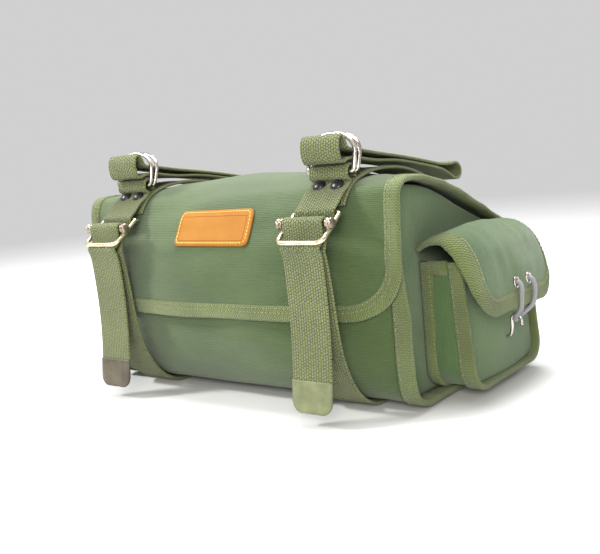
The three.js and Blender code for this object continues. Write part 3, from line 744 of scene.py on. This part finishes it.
def build_flap():
    """The big front flap with its tape, stitches and label."""
    hem = TAPE - 4
    near_hem = hem + np.array([0, 1.5, 4, 7.5, 12, 17, 23])
    s = np.concatenate([near_hem, np.linspace(37, FLAP_LENGTH + 9, 120)])[None, :]
    u = np.linspace(-1, 1, 120)[:, None]
    x = u * rounded_half(HALF_WIDTH - hem, FLAP_CORNER - hem, s - hem)
    flap = sheet("flap_cloth", flap_point(x, s), CLOTH, materials["canvas"])
    bends(flap, "bag_body", "main_flap", (0, 87, 88), (0, 84, 100), "canvas", "flap")

    path = edge_path(HALF_WIDTH, FLAP_CORNER, FLAP_LENGTH, 120, 26, 90)

    def place(i, inward, height):
        x, s, nx, ns = (path[i, k] for k in range(4))
        return flap_point(x - nx * inward, s - ns * inward, height)

    tape = folded_tape("flap_tape", path, place, thick=1.9)
    place_on(tape, "main_flap", "binding_tape", "flap_binding")
    runs = [stitch_row(f"flap_stitches_{number}", len(path), place, inward, 0.8)
            for number, inward in enumerate((TAPE - 1.6, TAPE - 4.6))]
    place_on(joined("flap_stitches", runs), "main_flap", "thread")
    build_label()


def build_label():
    """Blank leather label with a pressed frame line and a run of pale stitches."""
    rim = np.array([0, 0.25, 0.7, 1.4, 2.4, 3.6, 5])
    s = np.concatenate([rim, np.linspace(6, LABEL_TALL - 6, 12), LABEL_TALL - rim[::-1]])
    corner = 5
    half = np.minimum(rounded_half(LABEL_HALF, corner, s), rounded_half(LABEL_HALF, corner, LABEL_TALL - s))
    u = np.concatenate([[-1, -0.994, -0.985], np.linspace(-0.96, 0.96, 40), [0.985, 0.994, 1]])
    x = u[:, None] * half[None, :]
    to_edge = np.minimum(np.minimum(s, LABEL_TALL - s)[None, :], half[None, :] - np.abs(x))
    lift = 0.75 + 1.15 * np.sqrt(np.clip(to_edge / 0.9, 0, 1))
    up = np.repeat((LABEL_LOW + s)[None, :], len(u), axis=0)
    label = sheet("label_leather", flap_point(x, up, lift), 1.0, materials["leather"])
    place_on(label, "main_flap", "leather", "label_patch")

    inset, turn = 2.2, 3
    corner = [(LABEL_HALF - inset - turn + turn * math.sin(a), inset + turn - turn * math.cos(a))
              for a in np.linspace(0, math.pi / 2, 7)]
    right = corner + [(px, LABEL_TALL - ps) for px, ps in reversed(corner)]
    loop = right + [(-px, ps) for px, ps in reversed(right)]
    across, up = evenly_spaced(np.array(loop + loop[:1]), 220).T
    line = flap_point(across, LABEL_LOW + up, 1.9)
    over = flap_point(across, LABEL_LOW + up, 2.9) - line
    thread = stitches("label_stitches", line, over, materials["thread_tan"], 1.9, 2.6, 0.26)
    place_on(thread, "main_flap", "thread")


# ---- pockets ----
POCKET_STEPS = 150
POCKET_CORNER = 15.0
POCKET_LEAN = 0.18        # share of its depth that a pocket loses from bottom to top
FACE_INSET = 3.2
FACE_HALF = (POCKET_BACK - POCKET_FRONT) / 2 - FACE_INSET


def pocket_x(x, z):
    """How far out a pocket's point lies at height z, for its distance x out at the bottom."""
    up = np.clip((z - POCKET_BOTTOM) / (POCKET_TOP - POCKET_BOTTOM), 0, 1)
    return PANEL_X + (x - PANEL_X) * (1 - POCKET_LEAN * up)


def pocket_face_x(u, y, z, s):
    """How far out the stuffed face lies at share u of its half width, y from its middle."""
    bulge = 4.5 * (1 - u**2) * (1 - ((z - 45) / 48) ** 2)
    crease = rumple(y * 0.9, z * 1.3, 26, 16 + s) * 1.1 * (1 - u**4)
    return pocket_x(PANEL_X + POCKET_DEPTH + 1.5, z) + bulge + crease


def pocket_outline(inset):
    """U-shaped [y, z] path down the pocket's front side, along its bottom and up its back side."""
    r = POCKET_CORNER - inset
    front, back, base = POCKET_FRONT + inset, POCKET_BACK - inset, POCKET_BOTTOM + inset
    rough = np.concatenate([[[front, POCKET_TOP]], arc(front + r, base + r, r, 180, 270, 12),
                            arc(back - r, base + r, r, 270, 360, 12), [[back, POCKET_TOP]]])
    return evenly_spaced(rough, POCKET_STEPS)


def build_pocket_box(side, s):
    """The pocket's gusset with its bound seams at the front and the back, its face and its mouth."""
    path = pocket_outline(0.9)
    outward = -outward_of(path)
    out_y, out_z = outward.T
    depth = np.linspace(PANEL_X + 0.5, 160, 26)[:, None]
    share = (depth - depth[0]) / (depth[-1] - depth[0])
    wide = rumple(np.arange(POCKET_STEPS)[None, :] * 2.0, depth, 30, 9 + s) * 1.6
    sag = np.sin(share * math.pi) * (1.2 + wide) * np.clip((path[:, 1] - 9) / 12, -0.1, 1)
    y = path[:, 0] + out_y * sag
    z = path[:, 1] + out_z * sag
    grid = xyz(s * pocket_x(depth, z), y, z)
    normals = xyz(0 * depth, out_y, out_z)
    gusset = sheet(f"pocket_gusset_cloth_{side}", grid, 1.5, materials["canvas_end"], normals=normals)
    place_on(gusset, "bag_body", "canvas", f"pocket_gusset_{side}")

    edge = pocket_outline(0.0)
    wave = rumple(np.arange(POCKET_STEPS) * 2.0, 3.0 * s, 26, 10) * 0.5

    def front_place(i, inward, height):
        shift = height + wave[i] * (1 - inward / SEAM_REACH)
        z = edge[i, 1] + out_z[i] * shift
        return xyz(s * pocket_x(POCKET_OUT - inward, z), edge[i, 0] + out_y[i] * shift, z)

    def back_place(i, inward, height):
        y, z = edge[i, 0] + out_y[i] * height, edge[i, 1] + out_z[i] * height
        return xyz(s * (PANEL_X + 9.2 - inward), y, z)

    for label, place, width, seed in (("front", front_place, 11.4, 14), ("back", back_place, 8.6, 15)):
        tape = folded_tape(f"pocket_{label}_tape_{side}", edge, place, width=width, thick=2.4, seed=seed)
        place_on(tape, "bag_body", "binding_tape", f"pocket_{label}_binding_{side}")
    runs = [stitch_row(f"pocket_stitches_{number}_{side}", POCKET_STEPS, place, inward, 0.75)
            for number, (place, inward) in enumerate(((front_place, 9.6), (back_place, 1.8)))]
    place_on(joined(f"pocket_stitches_{side}", runs), "bag_body", "thread")
    build_pocket_face(side, s)
    build_mouth_tape(side, s)


def build_pocket_face(side, s):
    """The pocket's stuffed outer face, with rounded lower corners."""
    low = POCKET_BOTTOM + FACE_INSET
    near_low = low + np.array([0, 1, 2.5, 5, 8, 11.5])
    z = np.concatenate([near_low, np.linspace(24, POCKET_TOP, 40)])[None, :]
    u = np.linspace(-1, 1, 60)[:, None]
    y = u * rounded_half(FACE_HALF, 11.6, z - low)
    grid = xyz(s * pocket_face_x(u, y, z, s), POCKET_MIDDLE + y, z)
    face = sheet(f"pocket_face_cloth_{side}", grid, 1.5, materials["canvas_end"])
    place_on(face, "bag_body", "canvas", f"pocket_face_{side}")


def build_mouth_tape(side, s):
    """Tape round the pocket's mouth: over the top edges of the gusset's two sides and of the face."""
    tapes = []
    x = np.linspace(PANEL_X + 7.5, PANEL_X + 24, 20)
    bow = np.sin((x - x[0]) / (x[-1] - x[0]) * math.pi) * 1.4
    for number, (edge_y, way) in enumerate(((POCKET_FRONT + 0.4, -1), (POCKET_BACK - 0.4, 1))):
        def place(i, inward, height):
            z = POCKET_TOP + 0.6 - inward
            return xyz(s * pocket_x(x[i], z), edge_y + way * (height + bow[i]), z)

        name = f"pocket_mouth_tape_{number}_{side}"
        tapes.append(folded_tape(name, x, place, width=9.2, thick=1.8, seed=17))
    y = np.linspace(POCKET_FRONT + 4.5, POCKET_BACK - 4.5, 60)

    def face_place(i, inward, height):
        z = POCKET_TOP + 0.6 - inward
        across = y[i] - POCKET_MIDDLE
        return xyz(s * (pocket_face_x(across / FACE_HALF, across, z, s) + height), y[i], z)

    tapes.append(folded_tape(f"pocket_mouth_tape_2_{side}", y, face_place, width=9.2, thick=1.6, seed=18))
    place_on(joined(f"pocket_mouth_tape_{side}", tapes), "bag_body", "binding_tape")


POCKET_FLAP_LENGTH = 86.0
POCKET_FLAP_HALF = 57.5
POCKET_FLAP_CORNER = 24.0
POCKET_FLAP_DROP = 3.5
EYELET_UP = TAPE + 5.5
EYELET_SPACING = 17.0
HOOK_Z = 44.0


def pocket_flap_point(across, up, lift, s):
    """A point of a pocket flap, across from its middle and up from its lower edge."""
    across, up, lift = (np.asarray(v, float) for v in np.broadcast_arrays(across, up, lift))
    share = np.minimum(1, np.abs(across) / POCKET_FLAP_HALF)
    drop = POCKET_FLAP_DROP * np.maximum(0, across / POCKET_FLAP_HALF) ** 2
    calm = np.clip((POCKET_FLAP_LENGTH - up) / 20, 0, 1)
    relief = (rumple(across, up * 1.5, 30, 20 + s) * 1.7 + rumple(across * 1.4, up, 13, 21) * 0.4) * calm
    relief = relief - 1.2 * np.exp(-((up - 34) / 9) ** 2) * (1 - share**2)
    flat = pocket_flap_profile.at(1 - share**6, 1 - up / POCKET_FLAP_LENGTH, lift + relief)
    return xyz(s * flat[..., 0], POCKET_MIDDLE + across, flat[..., 1] - drop)


def build_pocket_flap(side, s):
    """A pocket's flap with its tape and stitches, and its closure."""
    hem = TAPE - 4
    inset = hem * 0.6
    near_hem = hem + np.array([0, 1.5, 4, 7, 11])
    up = np.concatenate([near_hem, np.linspace(POCKET_FLAP_CORNER, POCKET_FLAP_LENGTH, 60)])[None, :]
    u = np.linspace(-1, 1, 70)[:, None]
    across = u * rounded_half(POCKET_FLAP_HALF - inset, POCKET_FLAP_CORNER - inset, up - inset)
    name = f"pocket_flap_cloth_{side}"
    cloth = sheet(name, pocket_flap_point(across, up, 0, s), 1.6, materials["canvas_end"])
    path = edge_path(POCKET_FLAP_HALF, POCKET_FLAP_CORNER, POCKET_FLAP_LENGTH - 2, 50, 22, 30)

    def place(i, inward, height):
        x, up, nx, nu = (path[i, k] for k in range(4))
        return pocket_flap_point(x - nx * inward, up - nu * inward, height, s)

    tape = folded_tape(f"pocket_flap_tape_{side}", path, place, thick=1.8, seed=22)
    thread = stitch_row(f"pocket_flap_stitches_{side}", len(path), place, TAPE - 1.7, 0.8)
    for piece, *says in ((cloth, "canvas", f"pocket_flap_{side}", f"pocket_flap_hinge_{side}"),
                         (tape, "binding_tape", f"pocket_flap_binding_{side}"), (thread, "thread")):
        bends(piece, "bag_body", f"pocket_lid_{side}", (s * 144, 15, 110), (s * 156, 15, 109), *says)
    build_closure(side, s)


def turned(profile, centre, axis):
    """Rings of a turned piece: profile is (radius, height along the axis) pairs."""
    axis = unit(np.array(axis, float))
    side = unit(np.cross(axis, (0.2, 0.9, 0.4)))
    a = np.linspace(0, 2 * math.pi, 32, endpoint=False)[:, None]
    around = np.cos(a) * side + np.sin(a) * np.cross(axis, side)
    return np.array([np.array(centre) + axis * height + radius * around for radius, height in profile])


def mirrored(route, s, count):
    """A smooth path through points given for the right side, turned over for the left one."""
    return smooth_path([(s * x, y, z) for x, y, z in route], count)


def build_closure(side, s):
    """Two eyelets, the elastic loop through them and the wire hook below."""
    body = f"pocket_lid_{side}"
    y = POCKET_MIDDLE
    legs = []
    for label, way, slack in (("front", -1, 0.0), ("back", 1, 2.5)):
        seat = pocket_flap_point(way * EYELET_SPACING / 2, EYELET_UP, 0.15, s)
        turn = np.linspace(0, 2 * math.pi, 16, endpoint=False)
        section = [(3.15 + 1.0 * math.cos(a), 0.45 + 0.62 * math.sin(a)) for a in turn]
        eyelet = sweep(f"pocket_eyelet_ring_{label}_{side}", turned(section, seat, (s, 0, 0.04)),
                       materials["nickel"], closed=True)
        place_on(eyelet, body, "nickel", f"pocket_eyelet_{label}_{side}")
        out, across, up = abs(seat[0]), seat[1], seat[2]
        legs.append([(out - 0.4, across, up), (out + 2.2, across, up - 0.2),
                     (out + 3.6, across + slack / 2, up - 3.5), (out + 3.3, across + slack, 61),
                     (out + 2, across + slack * 0.6 - way, 53.5), (173.4, y + way * 5, 47.5)])
    route = legs[0] + [(171.4, y, HOOK_Z + 0.6)] + legs[1][::-1]
    cord = sweep(f"pocket_elastic_loop_{side}", wire_rings(mirrored(route, s, 90), 1.5), materials["elastic"])
    place_on(cord, body, "elastic", f"pocket_elastic_{side}")
    hook = [(163.0, y, HOOK_Z - 11.6), (166.6, y, HOOK_Z - 10), (168, y, HOOK_Z - 5), (168.4, y, HOOK_Z + 2),
            (171.4, y, HOOK_Z + 4.6), (174.6, y, HOOK_Z + 2), (175, y, HOOK_Z - 1.5), (175.4, y, HOOK_Z - 3)]
    metal = sweep(f"pocket_hook_wire_{side}", wire_rings(mirrored(hook, s, 50), 1.0), materials["nickel"])
    place_on(metal, "bag_body", "nickel", f"pocket_hook_{side}")


# ---- straps ----
strap_swell = float(swell_at(STRAP_X - STRAP_WIDTH / 2))
FRAME_LENGTH = float(np.linalg.norm(LOWER_BAR - TOP_BAR))
frame_down = (LOWER_BAR - TOP_BAR) / FRAME_LENGTH
FRAME_HALF = 17.3
BAR_DOWN, BAR_OUT = 13.5, 3.8
WIRE = 3.2
RING_WIRE = 2.8
RING_BARS = (-70.9, -67.2)
RING_BAR_Z = 154.0
RING_HALF = 17.9
BAR_RADIUS = 1.9
BEHIND_FRAME = WIRE / 2 + GAP + WEBBING / 2    # from the frame's plane back to a strap's middle
TIP_TOP = 29.0
TIP_HEIGHT = 20.6
TIP_THICK = 3.0
TIP_CORNER = 8.0
TIP_SLANT = 0.131         # how far the tip leans forward for each millimetre down


def strap_point(t, lift):
    """[y, z] over the flap along a strap, at share t of the flap's outline."""
    return flap_profile.at(np.full(np.shape(t), strap_swell), np.asarray(t, float), lift)


def on_frame(down, out):
    """[y, z] of a point down the buckle frame and out over its plane."""
    out_way = np.array([frame_down[1], -frame_down[0]])
    return TOP_BAR + frame_down * down + out_way * out


def webbing_section(width, thick):
    """Rounded section of a flat strap, as (across, height) pairs."""
    r = thick / 2
    half = width / 2
    turn = np.radians(np.linspace(90, -90, 7))
    right = [(half - r + r * math.cos(a), r * math.sin(a)) for a in turn]
    top = [(x, r) for x in np.linspace(-half + r, half - r, 12)[1:-1]]
    left = [(-x, -h) for x, h in right]
    low = [(-x, -h) for x, h in top]
    return np.array(top + right + low + left)


def webbing(name, line, x, seed, wander=0.35):
    """A strap whose middle runs along a [y, z] line, with the small unevenness of woven cotton."""
    line = np.asarray(line, float)
    reach = arc_lengths(line)
    d = np.linspace(0, reach[-1], max(12, int(reach[-1] / 1.6)))
    middle = at_lengths(line, reach, d)
    out = outward_of(middle)
    across, height = webbing_section(STRAP_WIDTH, WEBBING).T
    drift = rumple(d, seed * 3.0, 60, seed) * wander
    waist = 1 + rumple(d, seed * 5.0, 45, seed + 1) * 0.012
    rings = xyz(x + drift[:, None] + across * waist[:, None],
                middle[:, None, 0] + out[:, None, 0] * height,
                middle[:, None, 1] + out[:, None, 1] * height)
    uvs = np.stack(np.broadcast_arrays(across + STRAP_WIDTH / 2, d[:, None]), axis=2)
    return sweep(name, rings, materials["webbing"], uvs=uvs)


def edge_stitches(name, line, x, way):
    """A row of stitches near one edge of a strap."""
    out = outward_of(line)

    def place(height):
        return xyz(x + way * (STRAP_WIDTH / 2 - 2.2), *(line + out * height).T)

    path = place(1.05)
    return stitches(name, path, place(2.05) - path, materials["thread"])


def build_girth(side, x):
    """The strap down the front, under the bag and up its back."""
    front = smooth_path([[-104.6, 110.0], [-102.2, 99], [-100.2, 84], [-98, 60], [-95, 43], [-88.2, 26],
                         [-77.9, 11.5], [-64, 2.9], [-52, 1]], 70)
    back = smooth_path([[55, 1], [70, 2.7], [84.8, 11], [91.8, 28], [92.8, 55], [91.4, 84], [90.6, 91]], 50)
    strap = webbing(f"girth_webbing_{side}", np.concatenate([front, back]), x, seed=31)
    place_on(strap, "bag_body", "webbing", f"girth_strap_{side}")


def build_band(side, x):
    """The strap sewn over the flap, and its stitches."""
    over = strap_point(np.linspace(0.284, 1.0, 90), GAP + 0.45 + WEBBING / 2)
    line = np.concatenate([over, over[-1:] + [[0.6, -3.5]]])
    band = webbing(f"flap_band_{side}", line, x, seed=33)
    runs = [edge_stitches(f"run_{way}_{side}", over, x, way) for way in (-1, 1)]
    thread = joined(f"flap_band_stitches_{side}", runs)
    for piece, *says in ((band, "webbing", f"top_band_{side}"), (thread, "thread")):
        bends(piece, "bag_body", "main_flap", (x, 87, 91), (x, 84, 100), *says)


def build_link(side, x):
    """The strap from the buckle's upper bar to the rings, and its two rivets."""
    turn = [on_frame(3.1 * math.cos(a), 3.1 * math.sin(a)) for a in np.radians(np.linspace(-80, 75, 14))]
    middle = sum(RING_BARS) / 2
    hold = 1.85 + RING_WIRE / 2 + GAP + WEBBING / 2
    rough = [on_frame(-3.2, -3.1), *turn, on_frame(-5, 3), strap_point(0.309, 6.0), strap_point(0.325, 4.4),
             strap_point(0.345, 4.3), (middle - hold - 0.1, 151.0),
             *arc(middle, RING_BAR_Z, hold, 180, 0, 14), (middle + hold - 0.6, 150.6)]
    link = webbing(f"link_webbing_{side}", smooth_path(rough, 90), x, seed=35, wander=0.2)
    place_on(link, "main_flap", "webbing", f"link_strap_{side}", f"link_loop_{side}")

    seat_lift = 4.4 + WEBBING / 2 + 0.1
    seat = strap_point(0.329, seat_lift)
    ahead = strap_point(0.333, seat_lift) - seat
    dome = [(0.05, -0.3), (4.4, -0.3), (4.55, 0.1), (4.5, 0.5), (4.1, 1.1), (3.3, 1.75), (2.2, 2.3),
            (1.0, 2.6), (0.05, 2.65)]
    for label, way in (("outer", 1), ("inner", -1)):
        centre = (x + way * 7 * math.copysign(1, x), *seat)
        rings = turned(dome, centre, (0, -ahead[1], ahead[0]))
        head = sweep(f"rivet_head_{label}_{side}", rings, materials["black"])
        place_on(head, "main_flap", "black_metal", f"rivet_{label}_{side}")


FRAME_WIRE_STEPS = 140
RING_WIRE_STEPS = 120


def closed_wire(name, flat, thick, material, steps, place):
    """A closed wire along a flat outline; place puts each of its points into the bag's frame."""
    even = evenly_spaced(np.concatenate([flat, flat[:1]]), steps + 1)[:-1]
    path = np.array([place(across, along) for across, along in even])
    return sweep(name, wire_rings(path, thick / 2, 16, closed=True), material, closed=True)


def build_buckle(side, x):
    """The wire frame, the slide bar in front of it and the webbing rolled over that bar."""
    r_low, r_top = 4.6, 2.2
    low = FRAME_LENGTH - r_low
    corners = [(-FRAME_HALF + r_low, low, r_low, 180, 90), (FRAME_HALF - r_low, low, r_low, 90, 0),
               (FRAME_HALF - r_top, r_top, r_top, 0, -90), (-FRAME_HALF + r_top, r_top, r_top, -90, -180)]
    flat = np.concatenate([arc(*corner, 9) for corner in corners])

    def place(across, down):
        return (x + across, *on_frame(down, 0))

    loop = closed_wire(f"buckle_wire_{side}", flat, WIRE, materials["brass"], FRAME_WIRE_STEPS, place)
    place_on(loop, f"buckle_{side}", "pale_brass", f"buckle_frame_{side}")

    inside = FRAME_HALF + WIRE / 2 + GAP
    knob = [(BAR_RADIUS, -3.2), (3.0, -3.0), (3.4, -2.4), (3.5, -1.2), (3.0, -0.6), (2.9, -0.1), (3.5, 0.2),
            (3.7, 0.9), (3.2, 1.7), (BAR_RADIUS, 2.1), (0.05, 2.2)]
    half = [(r, inside + h) for r, h in knob]
    profile = [(r, -h) for r, h in reversed(half)] + [(BAR_RADIUS, 0)] + half
    rings = turned(profile, (x, *on_frame(BAR_DOWN, BAR_OUT)), (1, 0, 0))
    bar = sweep(f"slide_bar_pin_{side}", rings, materials["dull_nickel"])
    place_on(bar, f"slider_{side}", "pale_brass", f"slide_bar_{side}")

    r = BAR_RADIUS + GAP + WEBBING / 2
    turn = [on_frame(BAR_DOWN + r * math.cos(a), BAR_OUT + r * math.sin(a))
            for a in np.radians(np.linspace(240, 20, 22))]
    rough = [on_frame(FRAME_LENGTH - 2.2, -BEHIND_FRAME - 5), on_frame(20, -4.9), *turn, on_frame(19.4, 0.4),
             on_frame(22.2, -2.5), on_frame(FRAME_LENGTH - 1.2, -BEHIND_FRAME + 0.1)]
    roll = webbing(f"roll_webbing_{side}", smooth_path(rough, 70), x, seed=37, wander=0.1)
    place_on(roll, f"slider_{side}", "webbing", f"webbing_roll_{side}")


def build_tail(side, x, s):
    """The strap's free end, which hangs from the frame's lower bar."""
    line = smooth_path([on_frame(FRAME_LENGTH - 1.0, -BEHIND_FRAME + 0.1),
                        on_frame(FRAME_LENGTH + 1.8, -BEHIND_FRAME + 0.2), [-108.3, 106], [-107.3, 97],
                        [-106.6, 78], [-106.8, 58], [-108, 40], [-109.6, TIP_TOP - 4]], 90)
    tail = webbing(f"tail_webbing_{side}", line, x, seed=39 + s, wander=0.5)
    bends(tail, f"buckle_{side}", f"tail_{side}", (x, -107.2, 110.5), (x, -107.2, 105), "webbing",
          f"strap_tail_{side}")


def build_tip(side, x):
    """Folded vinyl end with rounded lower corners and a shallow crease down its middle."""
    up = np.array([0, 0.15, 0.5, 1.2, 2.2, 3.5, 5, 6.5, 8, 10, 12, 14, 16, 18, 19.6, 20.3, TIP_HEIGHT])
    rings = []
    for down in TIP_HEIGHT - up:
        half = float(rounded_half(STRAP_WIDTH / 2 + 0.3, TIP_CORNER, TIP_HEIGHT - down))
        round_end = math.sqrt(max(0.02, 1 - (1 - min(1, (TIP_HEIGHT - down) / 1.6)) ** 2))
        round_top = min(1.0, 0.75 + down / 2)
        across, height = webbing_section(2 * max(half, 2.0), TIP_THICK * round_end * round_top).T
        crease = 0.55 * np.exp(-((across - 3) / 1.6) ** 2) * min(1, down / 5) * (height > 0)
        y = -109.7 - down * TIP_SLANT - height + crease
        rings.append(xyz(x + across, y, TIP_TOP - down))
    tip = sweep(f"tail_tip_vinyl_{side}", np.array(rings), materials[f"vinyl_{side}"])
    place_on(tip, f"tail_{side}", "vinyl_tip", f"tail_tip_{side}")


def build_rings(side, x):
    """Two D-rings whose straight bars share the link strap's loop, leaning back at their own angles."""
    corner = 2.7
    top = [(RING_HALF * math.cos(a), 12 + 12.6 * math.sin(a)) for a in np.linspace(0, math.pi, 30)]
    low_left = [(-RING_HALF + corner - corner * math.cos(a), corner - corner * math.sin(a))
                for a in np.linspace(0, math.pi / 2, 7)]
    flat = np.array(top + low_left + [(-across, up) for across, up in reversed(low_left)])
    for label, bar_y, lean in (("front", RING_BARS[0], -11), ("back", RING_BARS[1], -19)):
        back, rise = math.sin(math.radians(-lean)), math.cos(math.radians(lean))

        def place(across, up):
            return x + across, bar_y + up * back, RING_BAR_Z + up * rise

        name = f"d_ring_wire_{label}_{side}"
        ring = closed_wire(name, flat, RING_WIRE, materials["nickel"], RING_WIRE_STEPS, place)
        place_on(ring, f"hanger_{side}", "nickel", f"d_ring_{label}_{side}")


def build_hanger(side, x):
    """Strap back to the saddle: two runs that close at the far end, rolled over before the rings."""
    line = [[-60, 167], [-66, 167.3], [-71.4, 169.2], [-73.6, 173.8], [-76, 176.8], [-79.4, 175.6],
            [-81, 171], [-80.8, 165.4], [-79, 161.2], [-75.8, 160.6], [-72, 161.9], [-62, 161.9],
            [-40, 158.8], [-14, 156.9], [14, 152.7], [44, 146.9], [56, 142.6], [65, 138.4], [72.6, 138.6],
            [75, 144.4], [69.4, 149.4], [60, 149.3], [45, 150.2], [14, 155.6], [-14, 160], [-38, 163.4],
            [-59.5, 166.9]]
    strap = webbing(f"hanger_loop_{side}", smooth_path(line, 260), x, seed=43, wander=0.4)
    place_on(strap, f"hanger_{side}", "webbing", f"hanger_strap_{side}")


# ---- floor, light and camera, in metres and watts ----
FLOOR_RADIUS = 2.2
FLOOR_GAP = 0.0005        # keeps the floor just below the bag
WORLD_GREY = 0.96
WORLD_STRENGTH = 0.66
CAMERA_PLACE = (0.41586, -0.50830, 0.17243)
CAMERA_AZIMUTH, CAMERA_PITCH = math.radians(38.066), math.radians(-1.613)
BAG_TILT = math.radians(8.804)
SENSOR_WIDTH, FOCAL_LENGTH = 36, 52.285    # millimetres


def build_stage():
    """A pale round floor that fades into the background."""
    bpy.ops.mesh.primitive_circle_add(vertices=64, radius=FLOOR_RADIUS, fill_type="NGON",
                                      location=(0, 0, -FLOOR_GAP))
    floor = bpy.context.object
    floor.name = "studio_floor"
    n = Nodes("floor")
    far = n.add("ShaderNodeVectorMath", {"operation": "LENGTH"}, i0=n.place()).outputs["Value"]
    fade = n.add("ShaderNodeMapRange", i0=far, i1=0.5, i2=1.7, i3=0.0, i4=1.0).outputs[0]
    grain = n.noise(n.place(), 6.0, 2.0)
    n.finish(n.ramp(grain, [(0.3, (0.66, 0.66, 0.66)), (0.7, (0.68, 0.68, 0.68))]), 0.9)
    clear = n.add("ShaderNodeBsdfTransparent")
    mixed = n.add("ShaderNodeMixShader", i0=fade, i1=n.shader.outputs[0], i2=clear.outputs[0])
    n.feed(n.tree.nodes["Material Output"].inputs[0], mixed.outputs[0])
    floor.data.materials.append(n.material)


def area_light(name, place, target, size, power, colour=(1, 1, 1)):
    """A round light of that diameter, aimed at its target."""
    data = bpy.data.lights.new(name, "AREA")
    data.shape = "DISK"
    data.size = size
    data.energy = power
    data.color = colour
    lamp = bpy.data.objects.new(name, data)
    lamp.location = place
    lamp.rotation_euler = (Vector(target) - Vector(place)).to_track_quat("-Z", "Y").to_euler()
    bpy.context.scene.collection.objects.link(lamp)


def build_light():
    """An even pale world with a key light from the left, a warm one from the right and one above."""
    world = bpy.data.worlds.new("studio")
    bpy.context.scene.world = world
    world.use_nodes = True
    background = world.node_tree.nodes["Background"]
    background.inputs[0].default_value = (WORLD_GREY, WORLD_GREY, WORLD_GREY, 1)
    background.inputs[1].default_value = WORLD_STRENGTH
    area_light("key", (-1.1, -0.85, 1.2), (0, 0, 0.09), 0.34, 29)
    area_light("side", (0.85, -1.3, 0.6), (0.1, 0, 0.07), 0.6, 18, (1.0, 0.98, 0.9))
    area_light("top", (0.0, 0.2, 1.6), (0, 0, 0.1), 0.9, 42)


def build_camera():
    """A level camera, turned back by the tilt at which the bag leans on its carrier."""
    level_part = math.cos(CAMERA_PITCH)
    forward = Vector((-math.sin(CAMERA_AZIMUTH) * level_part, math.cos(CAMERA_AZIMUTH) * level_part,
                      math.sin(CAMERA_PITCH)))
    right = Vector((math.cos(CAMERA_AZIMUTH), math.sin(CAMERA_AZIMUTH), 0))
    level = Matrix((right, right.cross(forward), -forward)).transposed()
    data = bpy.data.cameras.new("camera")
    data.sensor_width = SENSOR_WIDTH
    data.lens = FOCAL_LENGTH
    data.clip_end = 20
    camera = bpy.data.objects.new("camera", data)
    leaning = Matrix.Rotation(-BAG_TILT, 3, "X") @ level
    camera.matrix_world = Matrix.Translation(CAMERA_PLACE) @ leaning.to_4x4()
    bpy.context.scene.collection.objects.link(camera)
    bpy.context.scene.camera = camera


# ---- putting it together ----
bpy.context.scene.view_settings.view_transform = "Standard"
build_camera()
build_light()
build_stage()
build_wrap()
build_ends()
build_flap()
for name, sign in SIDES.items():
    build_pocket_box(name, sign)
    build_pocket_flap(name, sign)
    build_girth(name, sign * STRAP_X)
    build_band(name, sign * STRAP_X)
    build_link(name, sign * STRAP_X)
    build_buckle(name, sign * STRAP_X)
    build_tail(name, sign * STRAP_X, sign)
    build_tip(name, sign * STRAP_X)
    build_rings(name, sign * STRAP_X)
    build_hanger(name, sign * STRAP_X)
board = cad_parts["base_board"]
board.data.materials.clear()
board.data.materials.append(materials["board"])
